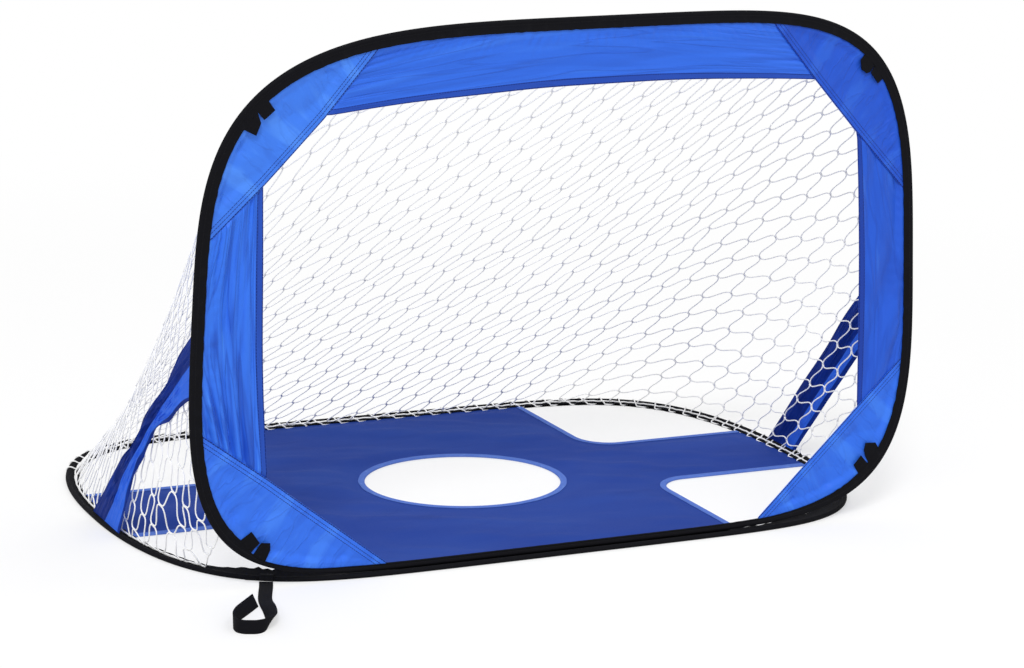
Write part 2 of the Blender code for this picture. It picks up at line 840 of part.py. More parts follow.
# The ground strap is sewn over the floor loop's binding. Beyond its bend at the floor it lies free,
# turns on edge and closes into a loop.
def make_strap(points, normals, look):
    edge, inward = edge_at(points, normals, strap_x)
    out = -inward / np.linalg.norm(inward)
    half = strap_thick / 2
    over = bead_z + strap_seat + half
    on_leg = flange_z + strap_seat + half
    sewn = [
        (-strap_sewn, 0.0, on_leg, 0.0),
        (-slope_out - 0.0022, 0.0, on_leg + 0.0012, 0.0),
        (-slope_top - 0.0013, 0.0, over - 0.0002, 0.0),
        (-0.0020, 0.0, over - 0.0001, 0.0),
        (0.45 * strap_fall, 0.0, over - 0.0026, 0.0),
        (strap_fall, 0.0, bead, 0.0),
        (strap_fall + 0.0002, 0.0, 3 * half, 0.0),
    ]
    free = [(strap_bend, 0.0, half, 0.0), (strap_flat / 2, 0.0, half, 0.0), (strap_flat, 0.0, half, 0.0)]
    for k in (1, 2, 3):
        reach = strap_flat + (strap_on_edge - strap_flat) * k / 3
        free.append((reach, strap_sway * ease(k / 3), half, 28.0 * k))
    for k in range(9):
        angle = math.radians(140 - 43 * k)
        reach = strap_loop_at + strap_loop_long * math.cos(angle)
        free.append((reach, strap_loop_wide * math.sin(angle) - strap_loop_side, half, 90.0))
    ribbon("strap_root", sewn, edge, out, look)
    strap = ribbon("ground_strap", free, edge, out, look)
    seam = edge + out * strap_bend
    set_origin(strap, (seam[0], seam[1], strap_thick))


# The point of the loop's front edge at x, with the direction into the loop there.
def edge_at(points, normals, x):
    for i in range(len(points)):
        k = (i + 1) % len(points)
        a, b = points[i], points[k]
        low = a[1] < points[0][1] + goal_depth / 8
        if low and a[0] != b[0] and (a[0] - x) * (b[0] - x) <= 0:
            share = (x - a[0]) / (b[0] - a[0])
            return a + (b - a) * share, normals[i] * (1 - share) + normals[k] * share
    return points[0], normals[0]


# A flat strap along stops of (distance out, distance to the side, height, roll in degrees).
def ribbon(name, stops, edge, out, look):
    side = np.array([-out[1], out[0]])
    half = strap_thick / 2
    line = smooth_line(stops, 3)
    rings = []
    for i, (s, l, z, roll) in enumerate(line):
        before, after = line[max(i - 1, 0)], line[min(i + 1, len(line) - 1)]
        plan = out * (after[0] - before[0]) + side * (after[1] - before[1])
        climb = after[2] - before[2] if roll < 1.0 else 0.0
        way = np.array([plan[0], plan[1], climb])
        way = way / np.linalg.norm(way)
        level = np.array([-plan[1], plan[0], 0.0]) / np.linalg.norm(plan)
        rise = np.cross(way, level)
        rise = rise if rise[2] > 0 else -rise
        angle = math.radians(min(max(roll, 0.0), 90.0))
        wide = level * math.cos(angle) + rise * math.sin(angle)
        thin = rise * math.cos(angle) - level * math.sin(angle)
        height = max(z, half)
        if roll > 0.5:
            height = half * math.cos(angle) + strap_width / 2 * math.sin(angle)
        spot = edge + out * s + side * l
        centre = np.array([spot[0], spot[1], height])
        w = wide * strap_width / 2
        t = thin * half
        rings.append([centre - w - t, centre + w - t, centre + w + t, centre - w + t])
    return swept(name, rings, False, look, True)


# A cloth tape behind both bindings is what the frame folds on. It follows the curve of both lower edges.
def make_hinge_tape(floor_points, frame_points, look):
    flange_y = binding_width - floor_lead
    foot_z = sheet_z + cloth / 2 + fit
    back = bead + 2 * fit
    rings = []
    for x in np.linspace(-hinge_half, hinge_half, 15):
        ahead = edge_at(floor_points, floor_points, x)[0][1] - floor_points[0][1]
        lift = edge_at(frame_points, frame_points, x)[0][1] - frame_points[0][1]
        edge = flange_y + ahead + 2 * fit
        rings.append([
            np.array([x, edge + hinge_floor, foot_z]),
            np.array([x, edge + hinge_floor, foot_z + hinge_tape]),
            np.array([x, edge + hinge_tape + fit, foot_z + hinge_tape]),
            on_frame((x, hinge_rise + lift), back + hinge_tape),
            on_frame((x, hinge_rise + lift), back),
            on_frame((x, axis_z + lift), back),
            np.array([x, edge, flange_z + fit]),
            np.array([x, edge, foot_z]),
        ])
    swept("hinge_tape", rings, False, look, False)


def frame_width_at(point):
    share = ease((abs(point[0]) - narrow_half) / narrow_blend)
    if point[1] > goal_height / 2:
        share = 1.0
    return narrow_binding + (frame_binding - narrow_binding) * share


def main():
    clear_scene()
    black = material("black_binding", (0.012, 0.012, 0.014), 0.75)
    royal = material("royal_blue_cloth", (0.020, 0.110, 0.640), 0.45)
    navy = material("navy_blue_cloth", (0.010, 0.040, 0.280), 0.60)
    trim = material("light_blue_tape", (0.060, 0.180, 0.640), 0.60)
    white = material("white_twine", (0.800, 0.800, 0.800), 0.70)
    steel = material("spring_steel", (0.350, 0.350, 0.360), 0.35, 1.0)
    zinc = material("plated_ferrule", (0.600, 0.600, 0.620), 0.40, 1.0)
    floor_rear = goal_depth - floor_lead
    front_shape = (floor_front_across, floor_front_across, floor_front_along)
    rear_shape = (floor_rear_across, floor_rear_across, floor_rear_along)
    floor_points, floor_normals = outline(-floor_lead, floor_rear, front_shape, rear_shape)
    low_shape = (frame_low_left, frame_low_right, frame_low_along)
    high_shape = (frame_high_left, frame_high_right, frame_high_along)
    frame_points, frame_normals = outline(frame_low, goal_height, low_shape, high_shape)
    profile = floor_binding_profile()
    swept("floor_sleeve", along(floor_points, floor_normals, lambda i: profile, on_floor), True, black, True)
    rings = along(frame_points, frame_normals,
                  lambda i: frame_binding_profile(frame_width_at(frame_points[i])), on_frame)
    swept("front_sleeve", rings, True, black, True)
    wire_and_ferrule("floor", floor_points, floor_normals, bead, on_floor, steel, zinc)
    wire_and_ferrule("front", frame_points, frame_normals, 0.0, on_frame, steel, zinc)
    make_target(floor_points, floor_normals, navy, trim)
    make_hinge_tape(floor_points, frame_points, black)
    make_surround(frame_points, frame_normals, royal)
    head = (goal_height / 2 - left_brace_head_low, left_brace_head)
    foot = (goal_depth / 2 - left_brace_foot_ahead, left_brace_foot)
    make_brace("left", -1.0, head, foot, left_brace_gather, royal)
    head = (goal_height / 2 - right_brace_head_low, right_brace_head)
    foot = (goal_depth / 2 - right_brace_foot_ahead, right_brace_foot)
    make_brace("right", 1.0, head, foot, right_brace_gather, royal)
    make_net(frame_points, frame_normals, floor_points, floor_normals, white)
    make_tabs(frame_points, frame_normals, black)
    make_strap(floor_points, floor_normals, black)
    hang_on_fold_axis()


# Everything on the standing frame hangs from one empty on the axis that the frame folds about.
def hang_on_fold_axis():
    axis = bpy.data.objects.new("front_fold_axis", None)
    axis.location = (0.0, 0.0, axis_z)
    bpy.context.scene.collection.objects.link(axis)
    moving = ("front_", "gusset_", "tab_", "top_", "left_", "right_")
    for obj in list(bpy.data.objects):
        if obj.type == "MESH" and obj.name.startswith(moving):
            obj.parent = axis
            obj.location = (obj.location.x, obj.location.y, obj.location.z - axis_z)


main()
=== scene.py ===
import json
import math
import random

import bmesh
import bpy
import numpy as np
from mathutils import Matrix, Vector, geometry


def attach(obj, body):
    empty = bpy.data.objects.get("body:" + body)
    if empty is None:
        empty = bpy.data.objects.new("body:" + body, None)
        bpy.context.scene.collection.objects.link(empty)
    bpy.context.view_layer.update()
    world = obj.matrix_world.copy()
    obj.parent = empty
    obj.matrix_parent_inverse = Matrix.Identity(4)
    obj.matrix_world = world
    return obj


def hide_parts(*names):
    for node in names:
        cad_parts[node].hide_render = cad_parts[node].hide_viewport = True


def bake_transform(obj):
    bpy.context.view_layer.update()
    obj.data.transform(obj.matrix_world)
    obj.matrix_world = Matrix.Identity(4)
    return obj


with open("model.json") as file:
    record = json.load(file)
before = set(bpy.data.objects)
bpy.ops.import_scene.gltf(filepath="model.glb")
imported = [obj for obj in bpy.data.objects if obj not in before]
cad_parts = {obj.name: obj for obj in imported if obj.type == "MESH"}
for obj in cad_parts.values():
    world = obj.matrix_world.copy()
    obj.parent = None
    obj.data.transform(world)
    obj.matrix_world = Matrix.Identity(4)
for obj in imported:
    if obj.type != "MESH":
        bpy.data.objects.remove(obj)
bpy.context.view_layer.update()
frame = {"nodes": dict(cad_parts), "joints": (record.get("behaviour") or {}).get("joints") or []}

# Sizes of the frame and its cloth, in metres, as in the CAD. The bindings' narrow places are finer here.
goal_width = 1.23
goal_height = 0.80
goal_depth = 0.80
floor_lead = 0.016
loop_half = goal_width / 2
front_low = 0.0047666
front_lean = 0.0175
front_twist = 0.14
floor_front_powers = (6.4, 6.4, 2.2)
floor_rear_powers = (6.0, 6.0, 2.4)
front_low_powers = (6.65, 5.85, 3.40)
front_high_powers = (3.82, 5.05, 3.58)

tape = 0.0011
tape_gap = 0.0003
cloth = 0.0010
wire_room = 0.00275
bead = wire_room + tape
bead_z = 2 * bead
leg_in = cloth / 2 + tape_gap
leg_out = leg_in + tape
sheet_z = tape + tape_gap + cloth / 2
flange_z = sheet_z + leg_out
floor_binding_width = 0.021
corner_reach = 0.008
front_binding_width = 0.0185
narrow_binding = 0.0098
narrow_half = 0.325
narrow_blend = 0.24
least_binding = 0.0076
edge_in = 0.013
least_grip = 0.0012
floor_shoulder = bead + wire_room + 0.0028
inner_step = 0.0004
tip_drop = 0.002

# Where the standing binding is pinched, measured out from the middle: its blend, its end and its fade.
pinch_blend = 0.09
pinch_end = 0.545
pinch_fade = 0.05

# Where the floor binding widens at its front corners: out along the front, and back along the sides.
corner_start = 0.34
corner_blend = 0.06
corner_depth = 0.10
corner_fade = 0.05

# Where its lip curls up at the left front corner, and the share of the curl that is lost further out.
curl_rise = 0.0062
curl_depth = 0.2
curl_start = 0.36
curl_blend = 0.08
curl_sink = 0.49
curl_fade = 0.06
curl_lost = 0.75

# How far the bindings' edges pucker and lift.
front_pucker = 0.0004
floor_pucker = 0.0010
front_lift = 0.00045
floor_lift = 0.0005

# Angles past which an edge is creased, in degrees.
tape_crease = 50
cloth_crease = 60

# Shares of the solids' cloth that the real, thinner cloth has here.
panel_share = 0.6
sheet_share = 0.8

# Seams of the mouth's cloth, each from the loop's top or bottom edge to its side edge, as (x, z).
SEAMS = {
    "top_left": ((-0.3500, 0.7664), (-0.4290, 0.6756), (-0.5135, 0.5907), (-0.5920, 0.5175)),
    "top_right": ((0.3371, 0.7783), (0.4244, 0.6847), (0.4999, 0.6072), (0.5918, 0.5158)),
    "bottom_left": ((-0.3130, 0.0279), (-0.4389, 0.1237), (-0.4880, 0.1618), (-0.5873, 0.2342)),
    "bottom_right": ((0.3241, 0.0154), (0.4038, 0.0867), (0.5070, 0.1755), (0.5968, 0.2508)),
}
head_arch = 0.0175
left_bow = 0.0045
right_bow = 0.0030
hem_width = 0.011
seam_width = 0.014
seam_tuck = 0.005
tuck_depth = 0.0019
seam_bulk = 0.0010
hem_bulk = 0.0009
sewn_in = 0.010

hole_half_x = 0.163
hole_half_y = 0.141
hole_right = 0.005
target_y = 0.381
band_half = 0.299
arm_front_y = 0.278
arm_rear_y = 0.498
notch_r = 0.055
rim_width = 0.009
rim_tape = 0.0008
sheet_grid = 0.0085
grid_clear = 0.004

# Braces: the middle and the width of the head on the frame, those of the foot,
# how far the lower edge draws in, and the share of the width that is folded away above.
brace_x = loop_half - 0.0075
brace_cloth = 0.0008
brace_run = 0.56
brace_ridge = 0.0042
brace_ruck = 0.0018
brace_bow = 0.0030
BRACES = {
    "left": (-1.0, 0.3405, 0.101, 0.340, 0.120, 0.027, 0.45),
    "right": (1.0, 0.4065, 0.113, 0.3835, 0.087, 0.004, 0.58),
}

column_pitch = 0.0365
knot_pitch = 0.055
twine = 0.0011
knot = 0.0016
net_start = 0.10
net_inset = 0.015
net_slack = 0.020
net_lean = 110.0

# Knots stray a little everywhere, and more within this reach of the hinge, where the net is slack.
slack_within = 0.35
knot_stray = 0.0030
slack_stray = 0.0170
least_twine = 0.004
curl_within = 0.40
edge_cord = 0.0013
lacing_cord = 0.0012
lacing_pitch = 0.034

FLOOR, FRONT = "floor_frame", "front_frame"
CORNERS = ("top_left", "top_right", "bottom_left", "bottom_right")


# Shader sums.

class Flow:
    """One socket of a material that takes part in sums, so that shader maths reads as plain Python."""

    def __init__(self, tree, socket=None):
        self.tree = tree
        self.socket = socket

    def node(self, kind, settings=None, inputs=None, output=0):
        made = self.tree.nodes.new(kind)
        for name, value in (settings or {}).items():
            if name == "stops":
                while len(made.color_ramp.elements) < len(value):
                    made.color_ramp.elements.new(1.0)
                for element, (place, colour) in zip(made.color_ramp.elements, value):
                    element.position = place
                    element.color = colour
            else:
                setattr(made, name, value)
        for key, value in (inputs or {}).items():
            if isinstance(value, Flow):
                self.tree.links.new(value.socket, made.inputs[key])
            else:
                made.inputs[key].default_value = value
        return Flow(self.tree, made.outputs[output] if made.outputs else None)

    def sums(self, operation, first, second):
        return self.node("ShaderNodeMath", {"operation": operation}, {0: first, 1: second})

    def __add__(self, other):
        return self.sums("ADD", self, other)

    __radd__ = __add__

    def __mul__(self, other):
        return self.sums("MULTIPLY", self, other)

    __rmul__ = __mul__

    def __sub__(self, other):
        return self.sums("SUBTRACT", self, other)

    def __rsub__(self, other):
        return self.sums("SUBTRACT", other, self)

    def __mod__(self, other):
        return self.sums("FLOORED_MODULO", self, other)

    def below(self, other):
        return self.sums("LESS_THAN", self, other)

    def least(self, other):
        return self.sums("MINIMUM", self, other)

    def sine(self):
        return self.node("ShaderNodeMath", {"operation": "SINE"}, {0: self})

    def size(self):
        return self.node("ShaderNodeMath", {"operation": "ABSOLUTE"}, {0: self})

    def ramp(self, low, high):
        settings = {"interpolation_type": "SMOOTHSTEP"}
        return self.node("ShaderNodeMapRange", settings, {0: self, 1: low, 2: high})


class Look:
    """A material with one Principled shader and patterns laid on the cloth's own coordinates, in metres."""

    def __init__(self, name, **constants):
        self.material = bpy.data.materials.new(name)
        self.material.use_nodes = True
        self.tree = self.material.node_tree
        self.shader = self.tree.nodes["Principled BSDF"]
        self.flow = Flow(self.tree)
        for socket, value in constants.items():
            self.shader.inputs[socket.replace("_", " ")].default_value = value
        self.place = self.flow.node("ShaderNodeUVMap", {"uv_map": "cloth"})
        self.along = self.flow.node("ShaderNodeSeparateXYZ", None, {0: self.place}, 0)
        self.across = self.flow.node("ShaderNodeSeparateXYZ", None, {0: self.place}, 1)

    def set(self, socket, value):
        self.tree.links.new(value.socket, self.shader.inputs[socket])

    def stretched(self, along, across):
        settings = {"operation": "MULTIPLY"}
        return self.flow.node("ShaderNodeVectorMath", settings, {0: self.place, 1: (along, across, 1.0)})

    def cloud(self, along, across, detail=2.0, twist=0.0):
        inputs = {"Vector": self.stretched(along, across), "Scale": 1.0, "Detail": detail,
                  "Distortion": twist}
        return self.flow.node("ShaderNodeTexNoise", None, inputs)

    def colours(self, factor, first, second):
        first = first if isinstance(first, Flow) else (*first, 1.0)
        second = second if isinstance(second, Flow) else (*second, 1.0)
        return self.flow.node("ShaderNodeMix", {"data_type": "RGBA"}, {0: factor, 6: first, 7: second}, 2)

    def weave(self, pitch):
        turn = math.tau / pitch
        over = (self.along * turn).sine() * 0.5 + 0.5
        under = (self.across * turn).sine() * 0.5 + 0.5
        return (over + under) * 0.5

    def stitches(self, distance, long, gap, thick):
        dash = (self.along % (long + gap)).below(long)
        row = (self.across - distance).size().below(thick / 2)
        return dash * row

    def bump(self, height, strength, distance, onto=None):
        inputs = {"Height": height, "Strength": strength, "Distance": distance}
        if onto is not None:
            inputs["Normal"] = onto
        return self.flow.node("ShaderNodeBump", None, inputs)


# Finishes.

ROYAL = (0.034, 0.158, 0.840)
# Painted shade for the satin's crease valleys and painted highlight for its crease ridges.
ROYAL_VALLEY_SHADE = (0.014, 0.066, 0.480)
ROYAL_RIDGE_HIGHLIGHT = (0.075, 0.265, 1.000)
HEM_BLUE = (0.014, 0.060, 0.430)
BRACE_BLUE = (0.030, 0.135, 0.740)
# Painted shade of the braces' folded-away cloth.
BRACE_FOLD_SHADE = (0.0035, 0.022, 0.200)
NAVY = (0.022, 0.056, 0.300)
NAVY_PALE = (0.028, 0.070, 0.340)
# Painted shade for the target sheet's creases.
NAVY_CREASE_SHADE = (0.014, 0.036, 0.210)
BLACK = (0.0058, 0.0058, 0.0078)
BLACK_WORN = (0.0125, 0.0125, 0.0150)
THREAD_BLUE = (0.004, 0.018, 0.160)


def satin_cloth(name, hem, stitch_rows, creases, streaks, shade_highlight_shares, pinched, depth, painted_light):
    """Thin woven satin: soft creases with a painted highlight on their ridges and painted shade in their
    valleys, small pinched creases with painted shade in them, a darker sewn hem and its stitching, whose
    first, wider row also paints the shadow line along the edge. creases and streaks are counts per metre
    along the strip and across it, the next argument is the shares of painted shade and painted highlight, and
    the last scales the whole cloth's red, green and blue to paint how much light or shade falls on that
    strip."""
    # Each strip's colours are scaled to paint how much light or shade falls on that strip.
    royal, valley_shade, ridge_highlight, hem_blue = (tuple(min(less * part, 1.0) for less, part in zip(painted_light, colour))
                                   for colour in (ROYAL, ROYAL_VALLEY_SHADE, ROYAL_RIDGE_HIGHLIGHT, HEM_BLUE))
    look = Look(name, Specular_IOR_Level=0.22, Sheen_Weight=0.03, Sheen_Roughness=0.4, Anisotropic=0.3)
    soft = look.cloud(creases[0], creases[1], 3.0, 0.6)
    streak = look.cloud(streaks[0], streaks[1], 2.0, 0.5)
    pinch = 1.0 - (streak - 0.5).size().ramp(0.0, 0.045)
    fine = look.cloud(140.0, 210.0, 2.0)
    # Painted shade in the soft creases' valleys and painted highlight on their ridges, from the same noise
    # that bumps them.
    colour = look.colours((1.0 - soft.ramp(0.36, 0.47)) * shade_highlight_shares[0], royal, valley_shade)
    colour = look.colours(soft.ramp(0.54, 0.66) * shade_highlight_shares[1], colour, ridge_highlight)
    # Painted shade along the small pinched creases.
    colour = look.colours(pinch * pinched, colour, valley_shade)
    folded = look.across.below(hem)
    colour = look.colours(folded * 0.85, colour, hem_blue)
    # The first stitch row is drawn wider and darker: real stitching that also paints the shadow line at the
    # hem's or seam's edge.
    thread = look.stitches(stitch_rows[0], 0.0040, 0.0006, 0.0016)
    for row in stitch_rows[1:]:
        thread = thread + look.stitches(row, 0.0030, 0.0010, 0.0010)
    colour = look.colours(thread, colour, THREAD_BLUE)
    look.set("Base Color", colour)
    look.set("Roughness", 0.42 + fine * 0.10 + folded * 0.10 + thread * 0.25)
    normal = look.bump(look.weave(0.0006), 0.08, 0.0001)
    normal = look.bump(fine, 0.12, 0.0003, normal)
    normal = look.bump(soft, 1.0, depth, normal)
    normal = look.bump(pinch, 0.45, 0.0012, normal)
    look.set("Normal", look.bump(thread, 0.6, 0.0005, normal))
    return look.material


def brace_satin(name, wander, split, low):
    """Band with painted shade on its upper part that lies folded away and on its lower edge, a lit run
    between, and painted highlights on its crease ridges.
    """
    look = Look(name, Specular_IOR_Level=0.06)
    creases = look.cloud(10.0, 3.2, 3.0, 0.8)
    cross = look.cloud(26.0, 1.1, 2.0, 0.5)
    edge = look.across + (look.cloud(7.0, 1.0) - 0.5) * wander
    lit_run = edge.ramp(low - 0.010, low + 0.010) * (1.0 - edge.ramp(1.0 - split - 0.015, 1.0 - split + 0.010))
    # Painted shade on the folded-away parts, with painted highlights on the ridges of the creases.
    colour = look.colours(creases.ramp(0.40, 0.70) * 0.6, BRACE_FOLD_SHADE, (0.009, 0.043, 0.340))
    # The lit run in the cloth's own blue, with painted highlights on the ridges of its cross folds.
    colour = look.colours(lit_run, colour, look.colours(cross.ramp(0.4, 0.7) * 0.6, BRACE_BLUE, ROYAL))
    look.set("Base Color", colour)
    look.set("Roughness", 0.50 + creases * 0.15)
    normal = look.bump(look.weave(0.0006), 0.08, 0.0001)
    normal = look.bump(cross, 0.30, 0.0030, normal)
    look.set("Normal", look.bump(creases, 0.60, 0.0040, normal))
    return look.material


def target_cloth(name):
    look = Look(name, Specular_IOR_Level=0.06)
    shade = look.cloud(2.2, 4.5, 3.0, 0.6)
    creases = look.cloud(5.0, 15.0, 3.0, 1.2)
    fine = look.cloud(240.0, 240.0, 2.0)
    colour = look.colours(shade.ramp(0.35, 0.65), NAVY, NAVY_PALE)
    # Painted shade along the sheet's creases.
    colour = look.colours(creases.ramp(0.55, 0.75) * 0.25, colour, NAVY_CREASE_SHADE)
    look.set("Base Color", colour)
    look.set("Roughness", 0.66 + fine * 0.16)
    normal = look.bump(look.weave(0.0009), 0.16, 0.0002)
    normal = look.bump(fine, 0.12, 0.0003, normal)
    look.set("Normal", look.bump(creases, 0.25, 0.0030, normal))
    return look.material


def ribbed_tape(name, base, worn, rib, wear=0.35, stitch_rows=()):
    look = Look(name, Specular_IOR_Level=0.07)
    turn = math.tau / rib
    ribs = (look.along * turn).sine() * 0.5 + 0.5
    twill = ((look.along + look.across) * (math.tau / (rib * 0.7))).sine() * 0.5 + 0.5
    lint = look.cloud(70.0, 160.0, 4.0)
    colour = look.colours(lint.ramp(0.50, 0.75) * wear, base, worn)
    thread = None
    for row in stitch_rows:
        one = look.stitches(row, 0.0032, 0.0010, 0.0009)
        thread = one if thread is None else thread + one
    normal = look.bump(ribs * 0.6 + twill * 0.4, 0.35, 0.0003)
    normal = look.bump(lint, 0.20, 0.0006, normal)
    if thread is not None:
        colour = look.colours(thread * 0.8, colour, worn)
        normal = look.bump(thread, 0.7, 0.0006, normal)
    look.set("Base Color", colour)
    look.set("Roughness", 0.70 + lint * 0.20)
    look.set("Normal", normal)
    return look.material


def twisted_twine(name):
    """Bleached white twine with a soft nap."""
    look = Look(name, Specular_IOR_Level=0.2, Sheen_Weight=1.0, Sheen_Roughness=0.6)
    strands = ((look.along + look.across) * (math.tau / 0.0022)).sine() * 0.5 + 0.5
    soil = look.cloud(30.0, 30.0, 3.0)
    colour = look.colours(soil.ramp(0.45, 0.80) * 0.3, (1.0, 1.0, 1.0), (0.96, 0.96, 0.95))
    # The grooves between the twisted plies are painted a little darker, as painted shade.
    look.set("Base Color", look.colours((1.0 - strands) * 0.3, colour, (0.95, 0.95, 0.95)))
    look.set("Roughness", 0.60 + soil * 0.15)
    look.set("Normal", look.bump(strands, 0.10, 0.0003))
    return look.material


def bare_metal(name, colour, stain, rough):
    look = Look(name, Metallic=1.0)
    spot = look.flow.node("ShaderNodeTexCoord", None, None, 3)
    inputs = {"Vector": spot, "Scale": 160.0, "Detail": 4.0}
    mottle = look.flow.node("ShaderNodeTexNoise", None, inputs)
    inputs = {"Vector": spot, "Scale": 900.0, "Detail": 2.0}
    grain = look.flow.node("ShaderNodeTexNoise", None, inputs)
    look.set("Base Color", look.colours(mottle.ramp(0.40, 0.70), colour, stain))
    look.set("Roughness", rough + mottle * 0.18)
    look.set("Normal", look.bump(grain, 0.15, 0.0001))
    return look.material


# Meshes.

def lengths(line):
    """How far along a line each of its points lies."""
    return np.concatenate([[0], np.cumsum(np.linalg.norm(np.diff(line, axis=0), axis=1))])


def places_on(line, run, want):
    """A line's places at the wanted distances, where run is the distance of each of its points."""
    return np.stack([np.interp(want, run, line[:, axis]) for axis in range(line.shape[1])], 1)


def make_piece(name, points, faces, corners, look, sharp=None):
    """An object from points and faces, with the cloth's own coordinates at each face's corners."""
    mesh = bpy.data.meshes.new(name)
    mesh.from_pydata([tuple(p) for p in np.asarray(points, float)], [], faces)
    layer = mesh.uv_layers.new(name="cloth")
    layer.data.foreach_set("uv", np.asarray(corners, np.float32).ravel())
    mesh.validate()
    mesh.update()
    mesh.shade_smooth()
    if sharp:
        mesh.set_sharp_from_angle(angle=math.radians(sharp))
    mesh.materials.append(look)
    piece = bpy.data.objects.new(name, mesh)
    bpy.context.scene.collection.objects.link(piece)
    return piece


def ring_mesh(rings, closed):
    """A tube's points, faces and cloth coordinates from its rings, capped where it isn't closed."""
    rings = np.asarray(rings, float)
    count, size = rings.shape[:2]
    run = lengths(rings.mean(1))
    closing = np.linalg.norm(rings[-1].mean(0) - rings[0].mean(0))
    run = np.append(run, run[-1] + closing)
    around = np.concatenate([rings[0], rings[0][:1]])
    around = lengths(around)
    faces, corners = [], []
    for i in range(count if closed else count - 1):
        k = (i + 1) % count
        for j in range(size):
            m = (j + 1) % size
            faces.append((i * size + j, i * size + m, k * size + m, k * size + j))
            corners += [(run[i], around[j]), (run[i], around[j + 1]),
                        (run[i + 1], around[j + 1]), (run[i + 1], around[j])]
    if not closed:
        faces.append(tuple(reversed(range(size))))
        corners += [(run[0], around[j]) for j in reversed(range(size))]
        faces.append(tuple(range((count - 1) * size, count * size)))
        corners += [(run[count - 1], around[j]) for j in range(size)]
    return rings.reshape(-1, 3), faces, corners


def face_outward(piece):
    work = bmesh.new()
    work.from_mesh(piece.data)
    bmesh.ops.recalc_face_normals(work, faces=work.faces)
    work.to_mesh(piece.data)
    work.free()
    return piece


def swept(name, rings, closed, look, sharp=None):
    points, faces, corners = ring_mesh(rings, closed)
    return face_outward(make_piece(name, points, faces, corners, look, sharp))


def many_tubes(name, paths, look):
    """Separate lengths of twine in one object; each path is its points, their radii and its sides."""
    points, faces, corners = [], [], []
    base = 0
    for path, radii, sides in paths:
        rings = tube_rings(path, radii, sides)
        part, shapes, places = ring_mesh(rings, False)
        points.append(part)
        faces += [tuple(v + base for v in face) for face in shapes]
        corners += places
        base += len(part)
    return make_piece(name, np.concatenate(points), faces, corners, look)


def tube_rings(path, radii, sides):
    """Round rings along a path, carried on from point to point without twist."""
    path = np.asarray(path, float)
    way = np.gradient(path, axis=0)
    way /= np.linalg.norm(way, axis=1)[:, None]
    start = np.array([0.0, 0.0, 1.0]) if abs(way[0][2]) < 0.8 else np.array([1.0, 0.0, 0.0])
    side = np.cross(way[0], start)
    side /= np.linalg.norm(side)
    rings = []
    turn = np.arange(sides) * math.tau / sides
    for point, ahead, radius in zip(path, way, radii):
        side = side - ahead * np.dot(side, ahead)
        side /= np.linalg.norm(side)
        other = np.cross(ahead, side)
        rings.append(point + radius * (np.cos(turn)[:, None] * side + np.sin(turn)[:, None] * other))
    return np.array(rings)


def grid_normals(grid):
    along = np.gradient(grid, axis=0)
    across = np.gradient(grid, axis=1)
    normal = np.cross(along, across)
    return normal / np.maximum(np.linalg.norm(normal, axis=2), 1e-9)[..., None]


def cloth_piece(name, grid, thick, look, places):
    """A sheet of cloth from a grid of its middle surface, closed round its edge."""
    count, size = grid.shape[:2]
    normal = grid_normals(grid)
    half = np.broadcast_to(np.asarray(thick, float), (count, size))[..., None] / 2
    points = np.concatenate([(grid - normal * half).reshape(-1, 3), (grid + normal * half).reshape(-1, 3)])
    total = count * size
    flat = places.reshape(-1, 2)
    faces, corners = [], []

    def add(face):
        faces.append(face)
        corners.extend(flat[v % total] for v in face)

    for i in range(count - 1):
        for j in range(size - 1):
            a = i * size + j
            b, c, d = a + 1, a + size + 1, a + size
            add((a, b, c, d))
            add((a + total, d + total, c + total, b + total))
    border = list(range(size)) + [i * size + size - 1 for i in range(1, count)]
    border += [(count - 1) * size + j for j in range(size - 2, -1, -1)]
    border += [i * size for i in range(count - 2, 0, -1)]
    for k, a in enumerate(border):
        b = border[(k + 1) % len(border)]
        add((a, a + total, b + total, b))
    return face_outward(make_piece(name, points, faces, corners, look, cloth_crease))


def waves(seed, count, along, across, sharp=False):
    """Random waves as a function of two distances; along and across are the ranges of their counts per metre.
    Sharp waves have creased ridges."""
    draw = random.Random(seed)
    terms = []
    for _ in range(count):
        sign = draw.choice((-1.0, 1.0))
        terms.append((draw.uniform(*along) * math.tau, sign * draw.uniform(*across) * math.tau,
                      draw.uniform(0, math.tau), draw.uniform(0.6, 1.0)))
    scale = 1.0 / math.sqrt(count)
    ridge_level = 1.27

    def height(u, v):
        if sharp:
            return scale * sum(a * (ridge_level - 2 * np.abs(np.sin((p * u + q * v + f) / 2)))
                               for p, q, f, a in terms)
        return scale * sum(a * np.sin(p * u + q * v + f) for p, q, f, a in terms)

    return height


def ease(value):
    value = np.clip(value, 0.0, 1.0)
    return value * value * (3 - 2 * value)


# The two loops.

